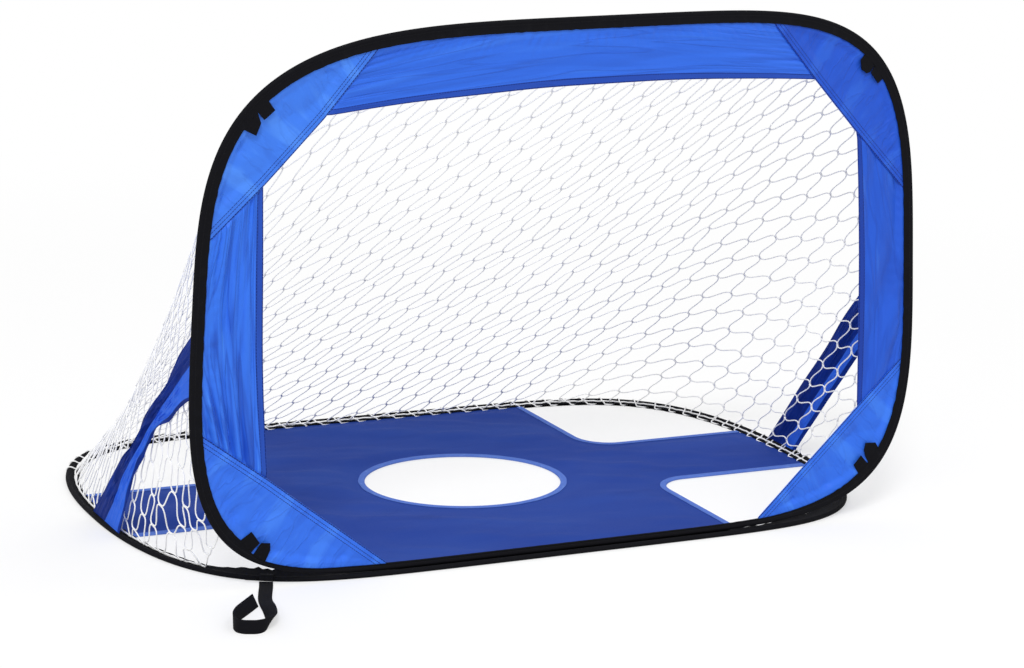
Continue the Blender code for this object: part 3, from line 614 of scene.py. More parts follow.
def loop_line(low, high, low_powers, high_powers, count):
    """One loop's outline at even steps, with the direction into the loop at each point."""
    half = (high - low) / 2
    turn = np.linspace(-math.pi / 2, 1.5 * math.pi, 16001)
    cos_t, sin_t = np.cos(turn), np.sin(turn)
    upper, right = sin_t > 0, cos_t > 0
    power_x = np.where(upper, np.where(right, high_powers[1], high_powers[0]),
                       np.where(right, low_powers[1], low_powers[0]))
    power_y = np.where(upper, high_powers[2], low_powers[2])
    share_x = np.abs(cos_t) ** (2 / power_x)
    share_y = np.abs(sin_t) ** (2 / power_y)
    x, y = np.sign(cos_t) * share_x * loop_half, np.sign(sin_t) * share_y * half
    grow_x = np.sign(x) * power_x / loop_half * share_x ** (power_x - 1)
    grow_y = np.sign(y) * power_y / half * share_y ** (power_y - 1)
    inward = -np.stack([grow_x, grow_y], 1) / np.hypot(grow_x, grow_y)[:, None]
    run = np.concatenate([[0], np.cumsum(np.hypot(np.diff(x), np.diff(y)))])
    want = (np.arange(count) + 0.5) / count * run[-1]
    points = np.stack([np.interp(want, run, x), np.interp(want, run, y + low + half)], 1)
    normal = places_on(inward, run, want)
    return points, normal / np.linalg.norm(normal, axis=1)[:, None]


def front_y(x, z):
    return z * front_lean + front_twist * x * z / goal_height


def on_front(spots, depth):
    """Places on the standing frame's gently twisted surface; depth is the distance behind it."""
    spots = np.asarray(spots, float)
    x, z = spots[..., 0], spots[..., 1]
    across = front_twist * z / goal_height
    rise = front_lean + front_twist * x / goal_height
    normal = np.stack([-across, np.ones_like(x), -rise], -1)
    normal /= np.linalg.norm(normal, axis=-1)[..., None]
    surface = np.stack([x, front_y(x, z), z], -1)
    return surface + normal * np.asarray(depth, float)[..., None]


def on_floor(spots, height):
    spots = np.asarray(spots, float)
    height = np.broadcast_to(np.asarray(height, float), spots.shape[:-1])
    return np.concatenate([spots, height[..., None]], -1)


def crossing(run, start, end, near):
    """Where a straight line crosses a closed run of points, as a place along the run, nearest to near."""
    start, end = np.asarray(start, float), np.asarray(end, float)
    line = end - start
    edge = np.roll(run, -1, 0) - run
    cross = line[0] * edge[:, 1] - line[1] * edge[:, 0]
    cross = np.where(np.abs(cross) < 1e-12, 1e-12, cross)
    gap = run - start
    share = (gap[:, 0] * line[1] - gap[:, 1] * line[0]) / cross
    hits = np.where((share >= 0) & (share < 1))[0]
    places = run[hits] + edge[hits] * share[hits][:, None]
    best = np.argmin(np.linalg.norm(places - np.asarray(near), axis=1))
    return hits[best] + share[hits[best]]


def point_on(run, place):
    i = int(math.floor(place)) % len(run)
    share = place - math.floor(place)
    return run[i] * (1 - share) + run[(i + 1) % len(run)] * share


def stretch(run, first, last, count):
    if last < first:
        last += len(run)
    stops = [first] + list(range(math.floor(first) + 1, math.ceil(last))) + [last]
    places = np.array([point_on(run, stop) for stop in stops])
    length = lengths(places)
    want = np.linspace(0, length[-1], count)
    return places_on(places, length, want)


RING_COUNT = 460
floor_line, floor_in = loop_line(-floor_lead, goal_depth - floor_lead,
                                 floor_front_powers, floor_rear_powers, RING_COUNT)
front_line, front_in = loop_line(front_low, goal_height, front_low_powers, front_high_powers, RING_COUNT)


# Bindings.

def front_width(point):
    """The standing loop's binding is drawn in along the bottom, most of all behind the left foot's tabs."""
    share = 1.0 if point[1] > goal_height / 2 else float(ease((abs(point[0]) - narrow_half) / narrow_blend))
    wide = narrow_binding + (front_binding_width - narrow_binding) * share
    if point[0] < -narrow_half and point[1] < goal_height / 2:
        pinched = float(ease((-point[0] - narrow_half) / pinch_blend)
                        * ease((pinch_end + point[0]) / pinch_fade))
        wide += (least_binding - wide) * pinched
    return wide


def floor_width(point):
    """The floor loop's binding is wider at the two front corners, where the loops part."""
    corner = float(ease((abs(point[0]) - corner_start) / corner_blend)
                   * ease((corner_depth - point[1]) / corner_fade))
    return floor_binding_width + corner_reach * corner


def floor_curl(point):
    """How far the floor binding's inner edge curls up against the standing loop, at its left front corner."""
    if point[1] > curl_depth:
        return 0.0
    return curl_rise * float(ease((-point[0] - curl_start) / curl_blend)
                             * (1 - curl_lost * ease((-point[0] - curl_sink) / curl_fade)))


def bead_arc(centre, radius, start, end, count):
    turn = np.radians(np.linspace(start, end, count))
    return [(centre[0] + radius * math.cos(a), centre[1] + radius * math.sin(a)) for a in turn]


def front_profile(width, pucker, ruffle):
    """Binding tape folded round the wire, from the front leg's edge round the wire to the back leg's."""
    reach = width + pucker
    shoulder = min(bead + 0.0048, reach - 0.0022)
    turned = min(shoulder + 0.004, reach - tip_drop)
    outer = [(reach, -leg_out - ruffle), (turned, -leg_out), (shoulder, -leg_out)]
    outer += bead_arc((bead, 0.0), bead, -75, -285, 9)
    outer += [(shoulder, leg_out), (turned, leg_out), (reach, leg_out + ruffle)]
    inner = [(reach, leg_in + ruffle), (shoulder - inner_step, leg_in)]
    inner += bead_arc((bead, 0.0), wire_room, 72, 288, 7)
    inner += [(shoulder - inner_step, -leg_in), (reach, -leg_in - ruffle)]
    return outer + inner


def floor_profile(width, pucker, ruffle):
    """The floor loop's binding lies with its lower leg flat on the ground."""
    reach = width + pucker
    outer = [(reach, flange_z + ruffle), (reach - 0.004, flange_z), (floor_shoulder, flange_z)]
    outer += bead_arc((bead, bead), bead, 70, 250, 9)
    outer += [(bead + 0.001, 0.0), (reach - 0.006, 0.0), (reach, 0.0)]
    inner = [(reach, tape), (bead + wire_room, tape)]
    inner += bead_arc((bead, bead), wire_room, 285, 60, 7)
    inner += [(floor_shoulder - inner_step, flange_z - tape), (reach, flange_z - tape + ruffle)]
    return outer + inner


def make_bindings(look):
    pucker = waves(3, 9, (18, 60), (0, 0.1))
    ruffle = waves(4, 7, (25, 70), (0, 0.1))
    step = np.linalg.norm(front_line[1] - front_line[0])
    run = np.arange(RING_COUNT) * step
    edge = front_pucker * pucker(run, 0 * run)
    lift = front_lift * (1 + ruffle(run, 0 * run))
    rings = []
    for i, point in enumerate(front_line):
        width = front_width(point)
        calm = 1.0 if width > 0.015 else 0.3
        profile = np.array(front_profile(width, edge[i] * calm, max(lift[i], 0.0) * calm))
        spots = point + front_in[i] * profile[:, :1]
        rings.append(on_front(spots, profile[:, 1]))
    front = swept("front_binding", rings, True, look, tape_crease)
    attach(front, FRONT)
    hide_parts("front_sleeve")
    edge = floor_pucker * pucker(run + 7.0, 0 * run)
    lift = floor_lift * (1 + ruffle(run + 5.0, 0 * run))
    rings = []
    for i, point in enumerate(floor_line):
        curl = floor_curl(point)
        torn = 1 + 1.6 * float(ease(-point[0] / 0.2) * ease((0.40 - point[1]) / 0.1))
        up = max(lift[i], 0.0) + curl * (1 + 0.30 * float(pucker(run[i] * 2.2, 0.0)))
        profile = np.array(floor_profile(floor_width(point), edge[i] * torn, up))
        spots = point + floor_in[i] * profile[:, :1]
        rings.append(on_floor(spots, profile[:, 1]))
    ground = swept("floor_binding", rings, True, look, tape_crease)
    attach(ground, FLOOR)
    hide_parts("floor_sleeve")


# Cloth round the mouth.


def surround_strip(name, node, inner, outer, look, folds, rows, width_hem, bulk, tuck=0.0):
    """One strip of the mouth's cloth, from its hem at the mouth to its edge inside the binding."""
    inner, outer = np.asarray(inner), np.asarray(outer)
    count = len(inner)
    reach = outer - inner
    width = np.linalg.norm(reach, axis=1)
    middle = (inner + outer) / 2
    run = lengths(middle)
    depth = np.zeros((count, rows))
    spots = np.zeros((count, rows, 2))
    places = np.zeros((count, rows, 2))
    thick = np.zeros((count, rows))
    stops = np.linspace(0, 1, rows)
    end = np.minimum(run, run[-1] - run)
    free = ease((end - tuck * 0.6) / 0.010) if tuck else np.ones(count)
    for j, t in enumerate(stops):
        spots[:, j] = inner + reach * t
        across = width * t
        places[:, j, 0] = run
        places[:, j, 1] = across
        from_edge = width - across
        calm = ease((from_edge - 0.009) / 0.012)
        fold = folds(run, across, from_edge, run[-1] - run)
        depth[:, j] = (fold * free + tuck_depth * (1 - free)) * calm
        folded = 1 - ease((across - width_hem) / 0.0015)
        thick[:, j] = cloth * panel_share + bulk * folded * ease(from_edge / 0.02) * free
    grid = on_front(spots, depth)
    piece = cloth_piece(name, grid, thick, look, places)
    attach(piece, FRONT)
    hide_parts(node)
    return piece


def even(line, count):
    """A line of points laid out again at even steps."""
    line = np.asarray(line, float)
    run = lengths(line)
    want = np.linspace(0, run[-1], count)
    return places_on(line, run, want)


def near_binding(from_edge, fade):
    """1 where the cloth is sewn into the binding, and less further in."""
    return np.exp(-np.maximum(from_edge - sewn_in, 0) / fade)


def top_folds():
    """Gathers along the binding, and long creases that fan out from both end seams."""
    broad, gather = waves(11, 6, (2, 6), (1, 5)), waves(12, 9, (34, 80), (4, 20), True)
    fan, level = waves(13, 7, (2, 6), (45, 85), True), waves(14, 6, (3, 8), (20, 45), True)

    def height(run, across, from_edge, rest):
        ends = np.exp(-np.minimum(run, rest) / 0.10)
        near = near_binding(from_edge, 0.010)
        hem = ease((across - 0.010) / 0.010)
        return (0.0016 * broad(run, across) + 0.0022 * near * gather(run, across)
                + 0.0013 * ends * hem * fan(run, across) + 0.0007 * hem * level(run, across))

    return height


def left_folds():
    """Sharp pleats that run down from both end seams, and crinkled cloth between them."""
    broad, pleats = waves(21, 5, (1, 4), (4, 12)), waves(22, 7, (0.6, 2.6), (26, 55), True)
    crinkle, gather = waves(23, 9, (4, 11), (12, 34), True), waves(24, 6, (25, 60), (6, 25))

    def height(run, across, from_edge, rest):
        hem = ease((across - 0.010) / 0.010)
        ends = np.exp(-np.minimum(run, rest) / 0.12)
        near = near_binding(from_edge, 0.014)
        return (0.0024 * broad(run, across) + 0.0052 * (0.30 + 0.70 * ends) * hem * pleats(run, across)
                + 0.0026 * (1 - ends) * hem * crinkle(run, across) + 0.0010 * near * gather(run, across))

    return height


def right_folds():
    """Creases that sweep across the strip at a slant."""
    broad, sweep = waves(31, 5, (1, 4), (2, 8)), waves(32, 6, (3, 7), (9, 20), True)
    gather = waves(33, 7, (25, 60), (6, 20))

    def height(run, across, from_edge, rest):
        hem = ease((across - 0.010) / 0.012)
        near = near_binding(from_edge, 0.014)
        return (0.0020 * broad(run, across) + 0.0030 * hem * sweep(run, across)
                + 0.0009 * near * gather(run, across))

    return height


def gusset_folds(seed):
    """The corner pieces' puckers only go backward, so that the closing tabs stay clear of them."""
    scallop, dimple = waves(seed, 8, (24, 55), (3, 14), True), waves(seed + 1, 7, (5, 14), (6, 18), True)

    def height(run, across, from_edge, rest):
        near = near_binding(from_edge, 0.018)
        hem = ease((across - seam_width) / 0.014)
        return (0.0024 * near * np.maximum(1 + scallop(run, across), 0) * hem
                + 0.0019 * hem * np.maximum(1 + dimple(run, across), 0))

    return height


def seam_ends(run, corner):
    """Where a corner's seam meets the cloth's edge: near the loop's top or bottom, and near its side."""
    seam = np.array(SEAMS[corner])
    return crossing(run, seam[0], seam[1], seam[0]), crossing(run, seam[3], seam[2], seam[3])


def onto(point, start, end):
    way = (end - start) / np.linalg.norm(end - start)
    return start + way * np.dot(point - start, way)


def panel_end(run, hem, edge, away):
    """A panel's end, tucked under the corner piece: its corner at the hem and its place along the run."""
    hem, edge = np.array(hem), np.array(edge)
    way = (edge - hem) / np.linalg.norm(edge - hem)
    side = np.array([-way[1], way[0]])
    if np.dot(np.array(away) - hem, side) > 0:
        side = -side
    return hem + side * seam_tuck, crossing(run, hem + side * seam_tuck, edge + side * seam_tuck, edge)


def bowed(start, end, count, offset):
    """A line between two points that swells by the offset at its middle."""
    share = np.linspace(0, 1, count)[:, None]
    return start + (end - start) * share + np.array(offset) * (4 * share * (1 - share))


def make_surround(top_look, left_look, right_look, corner_look):
    run = np.array([point + inward * min(edge_in, front_width(point) - least_grip)
                    for point, inward in zip(front_line, front_in)])
    gusset_stops, top_stops, side_stops = 130, 300, 190
    slip = 0.10 * RING_COUNT / 64
    for corner in CORNERS:
        seam = np.array(SEAMS[corner])
        flat, steep = seam_ends(run, corner)
        if corner in ("top_left", "bottom_right"):
            outer = stretch(run, flat + slip, steep - slip, gusset_stops)
            hem = seam
        else:
            outer = stretch(run, steep + slip, flat - slip, gusset_stops)
            hem = seam[::-1]
        inner = even([onto(outer[0], hem[0], hem[1]), hem[1], hem[2], onto(outer[-1], hem[3], hem[2])],
                     gusset_stops)
        surround_strip("gusset_cloth_" + corner, "gusset_" + corner, inner, outer, corner_look[corner],
                       gusset_folds(40 + 3 * CORNERS.index(corner)), 48, seam_width, seam_bulk)

    right, head_right = panel_end(run, SEAMS["top_right"][1], SEAMS["top_right"][0], (0.0, 0.75))
    left, head_left = panel_end(run, SEAMS["top_left"][1], SEAMS["top_left"][0], (0.0, 0.75))
    surround_strip("top_cloth", "top_panel", bowed(right, left, top_stops, (0.0, head_arch)),
                   stretch(run, head_right, head_left, top_stops), top_look, top_folds(), 44,
                   hem_width, hem_bulk, seam_tuck)
    sides = (("left", "top_left", "bottom_left", (-0.57, 0.38), -left_bow, left_look, left_folds(), 76),
             ("right", "bottom_right", "top_right", (0.57, 0.38), right_bow, right_look, right_folds(), 66))
    for side, first, last, away, bow, look, folds, rows in sides:
        begin, side_begin = panel_end(run, SEAMS[first][2], SEAMS[first][3], away)
        end, side_end = panel_end(run, SEAMS[last][2], SEAMS[last][3], away)
        surround_strip(side + "_cloth", side + "_panel", bowed(begin, end, side_stops, (bow, 0.0)),
                       stretch(run, side_begin, side_end, side_stops), look, folds, rows,
                       hem_width, hem_bulk, seam_tuck)


# Target sheet and its edge tapes.

def notch_line(sign_x, row_y, sign_y, run, count):
    """A corner notch: where its two sides meet the outline, and the arc of its inner corner."""
    end_y = goal_depth if sign_y > 0 else -goal_depth
    corner = np.array([sign_x * band_half, row_y])
    along_x = crossing(run, corner, corner + np.array([0.0, 1.0]), (corner[0], end_y))
    along_y = crossing(run, corner, corner + np.array([1.0, 0.0]), (sign_x * loop_half, row_y))
    middle = corner + np.array([sign_x, sign_y]) * notch_r
    turn = np.linspace(0, math.pi / 2, count)
    arc = middle + notch_r * np.stack([-sign_x * np.cos(turn), -sign_y * np.sin(turn)], 1)
    return along_x, along_y, arc


def inside(points, outline):
    """Which points lie inside a closed outline."""
    result = np.zeros(len(points), bool)
    ahead = np.roll(outline, -1, 0)
    for (x0, y0), (x1, y1) in zip(outline, ahead):
        crosses = (y0 > points[:, 1]) != (y1 > points[:, 1])
        if not crosses.any():
            continue
        at = x0 + (points[:, 1] - y0) * (x1 - x0) / (y1 - y0 if y1 != y0 else 1e-12)
        result ^= crosses & (points[:, 0] < at)
    return result


def distance_to(points, outline):
    start, edge = outline, np.roll(outline, -1, 0) - outline
    size = np.maximum((edge ** 2).sum(1), 1e-12)
    gap = points[:, None] - start[None]
    share = np.clip((gap * edge[None]).sum(2) / size, 0, 1)
    return np.linalg.norm(gap - share[..., None] * edge[None], axis=2).min(1)


def make_target(sheet_look, rim_look):
    run = floor_line + floor_in * edge_in
    lip = floor_line + floor_in * (floor_binding_width + 0.0008)
    corners = {
        "front_right": (1.0, arm_front_y, -1.0), "rear_right": (1.0, arm_rear_y, 1.0),
        "rear_left": (-1.0, arm_rear_y, 1.0), "front_left": (-1.0, arm_front_y, -1.0),
    }
    notches = {name: notch_line(*corner, run, 16) for name, corner in corners.items()}
    turn = np.linspace(0, math.tau, 120, endpoint=False)
    hole = np.stack([hole_right + hole_half_x * np.cos(turn), target_y + hole_half_y * np.sin(turn)], 1)
    order = [("front_left", "front_right", 0), ("front_right", "rear_right", 1),
             ("rear_right", "rear_left", 0), ("rear_left", "front_left", 1)]
    border = []
    for here, there, which in order:
        count = 50 if which == 0 else 20
        border += list(stretch(run, notches[here][which], notches[there][which], count))
        arc = notches[there][2]
        border += list(arc[::-1]) if which else list(arc)
    border = np.array(border)
    spread = np.concatenate([border, hole])
    x, y = np.meshgrid(np.arange(-0.62, 0.62, sheet_grid), np.arange(-0.02, 0.80, sheet_grid))
    field = np.stack([x.ravel(), y.ravel()], 1)
    field = field[inside(field, border) & ~inside(field, hole)]
    field = field[np.minimum(distance_to(field, border), distance_to(field, hole)) > grid_clear]
    every = np.concatenate([spread, field])
    edges = [(i, (i + 1) % len(border)) for i in range(len(border))]
    edges += [(len(border) + i, len(border) + (i + 1) % len(hole)) for i in range(len(hole))]
    verts, _, faces, _, _, _ = geometry.delaunay_2d_cdt([Vector(p) for p in every], edges, [], 0, 1e-6)
    flat = np.array([tuple(v) for v in verts])
    centres = np.array([flat[list(face)].mean(0) for face in faces])
    keep = inside(centres, border) & ~inside(centres, hole)
    faces = [tuple(face) for face, wanted in zip(faces, keep) if wanted]
    held = np.minimum(distance_to(flat, border), distance_to(flat, hole))
    broad, crease = waves(61, 7, (1, 3), (2, 6)), waves(62, 8, (2, 7), (6, 16))
    rise = np.maximum(0.5 + 0.7 * broad(flat[:, 0], flat[:, 1]), 0) * 0.0050
    rise += np.maximum(crease(flat[:, 0], flat[:, 1]), 0) * 0.0022
    height = sheet_z + rise * ease((held - 0.014) / 0.030)
    half = cloth / 2 * sheet_share
    points = np.concatenate([on_floor(flat, height - half), on_floor(flat, height + half)])
    total = len(flat)
    shapes = [face[::-1] for face in faces] + [tuple(v + total for v in face) for face in faces]
    open_edges = {}
    for face in faces:
        for a, b in zip(face, face[1:] + face[:1]):
            open_edges[(a, b)] = True
    for a, b in open_edges:
        if (b, a) not in open_edges:
            shapes.append((a, b, b + total, a + total))
    places = [flat[v % total] for shape in shapes for v in shape]
    piece = face_outward(make_piece("target_cloth", points, shapes, places, sheet_look, cloth_crease))
    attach(piece, FLOOR)
    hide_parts("target_sheet")
    rim("hole_edge_tape", "centre_hole_binding", hole, True, 1.0, rim_look)
    for name, (sign_x, row_y, sign_y) in corners.items():
        along_x, along_y, arc = notch_line(sign_x, row_y, sign_y, lip, 20)
        start, end = point_on(lip, along_x), point_on(lip, along_y)
        steps = np.linspace(0, 1, 14)[:, None]
        before, after = start + (arc[0] - start) * steps[:-1], (arc[-1] + (end - arc[-1]) * steps)[1:]
        line = np.concatenate([before, arc, after])
        rim("notch_edge_tape_" + name, "notch_binding_" + name, line, False, sign_x * sign_y, rim_look)


def rim(name, node, line, closed, side, look):
    """Edge tape folded over the sheet's edge. With side 1 the sheet is to the right of the line's run."""
    count = len(line)
    before = np.roll(line, 1, 0) if closed else line[[0] + list(range(count - 1))]
    after = np.roll(line, -1, 0) if closed else line[list(range(1, count)) + [count - 1]]
    way = after - before
    way /= np.linalg.norm(way, axis=1)[:, None]
    into = np.stack([way[:, 1], -way[:, 0]], 1) * side
    low_in, high_in = sheet_z - leg_in, sheet_z + leg_in
    low_out, high_out = low_in - rim_tape, high_in + rim_tape
    wave = waves(len(name), 6, (12, 40), (0, 0.1))
    run = lengths(line)
    edge = rim_width + 0.0004 * wave(run, 0 * run)
    profile = [(None, high_out), (-0.0004, high_out + 0.0003), (-0.0010, high_out - 0.0004),
               (-0.0013, sheet_z), (-0.0010, low_out + 0.0004), (0.0, low_out), (None, low_out),
               (None, low_in), (-0.0003, low_in), (-0.0003, high_in), (None, high_in)]
    rings = []
    for i in range(count):
        ring = []
        for reach, height in profile:
            spot = line[i] + into[i] * (edge[i] if reach is None else reach)
            ring.append((spot[0], spot[1], height))
        rings.append(ring)
    piece = swept(name, rings, closed, look, tape_crease)
    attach(piece, FLOOR)
    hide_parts(node)


# Braces.

def make_brace(side, look):
    """A band of cloth, folded lengthwise, from the floor loop's side to the back of the frame's side."""
    sign, head, head_wide, foot, foot_wide, gather, split = BRACES[side]
    rows, size = 110, 40
    share = np.linspace(0, 1, rows)[:, None]
    across = np.linspace(0, 1, size)[None, :]
    middle = np.sin(math.pi * share)
    loose, low = (1.0, 0.94) if side == "left" else (0.30, 0.87)
    wobble = waves(76, 4, (3.0, 7.0), (0.1, 0.3))(share * brace_run, across)
    head_z = head + head_wide * (0.5 - across)
    head_y = front_y(sign * brace_x, head_z) + bead + tape_gap + 0.001
    foot_y = foot + foot_wide * (0.5 - across)
    foot_z = bead_z + 0.0006
    drawn_in = gather * across * middle + brace_bow * loose * wobble * middle ** 0.5 * np.abs(2 * across - 1)
    y = head_y + (foot_y - head_y) * share + drawn_in
    z = head_z + (foot_z - head_z) * share + drawn_in
    crease = brace_creases(side, across, share * brace_run)
    ridge = np.interp(crease, [0.0, 0.25, split, low, 1.0], [0.0, -0.55, 0.60, -0.85, 0.20])
    fold = waves(71 if side == "left" else 72, 6, (0.5, 1.6), (1.2, 2.6))
    small = waves(73 if side == "left" else 74, 9, (3.0, 11.0), (6.0, 16.0))
    x = sign * (brace_x + 0.0010 * loose) + brace_ridge * middle ** 0.5 * ridge
    x = x + brace_ruck * loose * middle ** 0.5 * fold(share * brace_run, across)
    x = x + (0.0003 + 0.0013 * loose) * middle ** 0.5 * small(share * brace_run, across)
    grid = np.stack([x + 0 * y, y, z], -1)
    places = np.stack([share * brace_run + 0 * across, 1 - crease + 0 * share], -1)
    piece = cloth_piece("brace_cloth_" + side, grid, brace_cloth, look, places)
    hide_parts("brace_" + side)
    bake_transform(piece)


def brace_creases(side, across, run):
    """How far across the band's own cloth each place lies; the left band's folds wander along it."""
    if side == "right":
        return across + 0 * run
    wander = waves(77, 4, (1.5, 4.5), (0.1, 0.3))(run, across)
    return across + 0.10 * wander * across * (1 - across) * 2


# Net.

# How far from the hinge each band of the net begins; each band is made as its own object.
BAND_EDGES = (0.0, 0.108, 0.135, 0.169, 0.211, 0.264, 0.330, 0.412, 0.515, 9.0)


def net_surface():
    """For each column of the net: its head on the frame, its foot on the floor loop, its place across."""
    stops = 900
    head_run = front_line + front_in * net_inset
    foot_run = floor_line + floor_in * net_inset
    level = np.array([1.0, 0.0])
    right, left = np.array([loop_half, net_start]), np.array([-loop_half, net_start])
    head = stretch(head_run, crossing(head_run, right, right + level, right),
                   crossing(head_run, left, left + level, left), stops)
    foot = stretch(foot_run, crossing(foot_run, right, right + level, right),
                   crossing(foot_run, left, left + level, left), stops)
    spread = np.arange(float(stops))
    lean = net_lean * ease((spread - 150) / 250) * ease((stops - spread) / 350)
    foot = places_on(foot, spread, spread + lean)
    head = on_front(head, np.full(stops, leg_out + tape_gap + twine))
    foot = on_floor(foot, flange_z + tape_gap + twine)
    mid = (head + foot) / 2
    place = lengths(mid)
    return head, foot, place


def make_net(look):
    """Netting whose meshes lean: one run of twine follows the columns from head to foot, the other
    crosses them, and both pass down through each knot together."""
    head, foot, place = net_surface()
    length = np.linalg.norm(head - foot, axis=1)
    reach = np.minimum(head[:, 2] - head[:, 1], foot[:, 1])
    total = place[-1]
    count = int(round(total / column_pitch))
    half_knot = knot_pitch / 2
    draw = random.Random(5)
    jitter = {}

    def column(k):
        at = min(max(k / count * total, 0.0), total)
        f = np.interp(at, place, np.arange(len(place)))
        i = int(min(math.floor(f), len(place) - 2))
        share = f - i
        return [row[i] * (1 - share) + row[i + 1] * share for row in (head, foot, length, reach)]

    def spot(k, q):
        """A knot's place: column k, and q metres below the column's middle."""
        top, low, long, near = column(k)
        q = min(max(q, -long / 2), long / 2)
        share = 0.5 + q / long
        hold = math.sin(math.pi * share)
        key = (round(k, 3), round(q, 4))
        if key not in jitter:
            jitter[key] = np.array([draw.uniform(-1, 1) for _ in range(3)])
        slack = max(0.0, 1 - near / slack_within)
        stray = knot_stray + slack_stray * slack
        loose = jitter[key] * hold * stray * np.array([0.5 + 0.5 * slack, 1.0, 1.0])
        sag = net_slack * hold * long
        point = top * (1 - share) + low * share + loose - np.array([0.0, 0.0, sag])
        most = loop_half - net_inset - 0.004 * hold
        point[0] = min(max(point[0], -most), most)
        return point

    def down(k, q):
        """The way that both twines take through a knot."""
        way = spot_even(k - 0.7, q + 0.7 * half_knot) - spot_even(k + 0.7, q - 0.7 * half_knot)
        return way / max(np.linalg.norm(way), 1e-6)

    def spot_even(k, q):
        top, low, long, _ = column(min(max(k, 0), count))
        share = 0.5 + min(max(q / long, -0.5), 0.5)
        return top * (1 - share) + low * share

    bands = {}

    def strand(k0, q0, k1, q1, curl):
        start, end = spot(k0, q0), spot(k1, q1)
        far = np.linalg.norm(end - start)
        if far < least_twine:
            return
        near = min(column(k0)[3], column(k1)[3])
        slackest = 1 + 1.5 * max(0.0, 1 - near / curl_within)
        first = down(k0, q0) * far * curl * draw.uniform(0.9, slackest)
        last = down(k1, q1) * far * curl * draw.uniform(0.9, slackest)
        t = np.linspace(0, 1, 10)[:, None]
        path = (start * (2 * t ** 3 - 3 * t ** 2 + 1) + end * (3 * t ** 2 - 2 * t ** 3)
                + first * (t ** 3 - 2 * t ** 2 + t) + last * (t ** 3 - t ** 2))
        radii = np.full(10, twine)
        radii[[0, -1]] = knot
        band = sum(1 for edge in BAND_EDGES[1:] if near >= edge)
        bands.setdefault(band, []).append((path, radii, 6))

    for k in range(count + 1):
        limit = column(k)[2] / 2
        rows = int(limit / half_knot) + 2
        knots = [m * half_knot for m in range(-rows, rows + 1)
                 if (k + m) % 2 == 0 and abs(m * half_knot) < limit]
        stops = [-limit] + knots + [limit]
        edge = k in (0, count)
        for q0, q1 in zip(stops, stops[1:]):
            strand(k, q0, k, q1, 0.15 if edge else 0.8)
        if k == count:
            continue
        limit_next = column(k + 1)[2] / 2
        for m in range(-rows - 1, rows + 1):
            q0, q1 = m * half_knot, (m + 1) * half_knot
            if (k + m) % 2 or (abs(q0) >= limit and abs(q1) >= limit_next):
                continue
            strand(k, min(max(q0, -limit), limit), k + 1, min(max(q1, -limit_next), limit_next), -1.0)
    for band, paths in sorted(bands.items()):
        piece = face_outward(many_tubes("net_band_%d" % (band + 1), paths, look))
        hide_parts("goal_net")
        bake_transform(piece)
    rope(head, "net_head_cord", FRONT, look, column_pitch)
    rope(foot, "net_foot_cord", FLOOR, look, column_pitch)


def rope(line, name, body, look, step):
    """The cord through the net's edge meshes, pulled a little to and fro at each."""
    run = lengths(line)
    want = np.arange(0, run[-1], 0.007)
    path = places_on(line, run, want)
    sway = 0.0012 * np.sin(want * math.tau / step)
    path[:, 2] += np.abs(sway) if body == FLOOR else sway
    path[:, 1] += 0.0012 * np.cos(want * math.tau / step) if body == FLOOR else 0.0005 + np.abs(sway) * 0.5
    piece = face_outward(many_tubes(name, [(path, [edge_cord] * len(path), 6)], look))
    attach(piece, body)


def make_lacing(look):
    """White cord wound over the floor loop's binding, along its rear and round both rear corners."""
    left, right = np.array([-loop_half, 0.60]), np.array([loop_half, 0.30])
    first = crossing(floor_line, right, right + np.array([1.0, 0.0]), right)
    last = crossing(floor_line, left, left + np.array([1.0, 0.0]), left)
    count = int((last - first) * 8)
    places = np.linspace(first, last, count)
    spots = np.array([point_on(floor_line, p) for p in places])
    inward = np.array([point_on(floor_in, p) for p in places])
    run = lengths(spots)
    wide = floor_binding_width
    loop = [(wide + 0.0030, 0.0030), (wide + 0.0008, flange_z + 0.0016), (0.0125, flange_z + 0.0014),
            (0.0070, bead_z + 0.0008), (0.0030, bead_z + 0.0016), (-0.0010, bead_z - 0.0002), (-0.0016, bead),
            (-0.0010, 0.0020), (0.0020, 0.0014), (wide, 0.0014)]
    loop = np.array(loop + loop[:1])
    around = lengths(loop)
    around /= around[-1]
    draw = random.Random(9)
    path = []
    turns = int(run[-1] / lacing_pitch)
    for turn in range(turns):
        start = turn * lacing_pitch + draw.uniform(-0.004, 0.004)
        slant = draw.uniform(0.014, 0.026)
        for step in np.linspace(0, 1, 22, endpoint=False):
            u = np.interp(step, around, loop[:, 0])
            v = np.interp(step, around, loop[:, 1])
            if step < 0.9:
                at = start + slant * step / 0.9
            else:
                at = start + slant + (lacing_pitch - slant) * (step - 0.9) / 0.1
            base = np.array([np.interp(at, run, spots[:, axis]) for axis in (0, 1)])
            way = np.array([np.interp(at, run, inward[:, axis]) for axis in (0, 1)])
            spot = base + way * u
            path.append((spot[0], spot[1], v))
    piece = face_outward(many_tubes("rear_lacing_cord", [(path, [lacing_cord] * len(path), 6)], look))
    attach(piece, FLOOR)


# Tabs, straps and hinge tape.

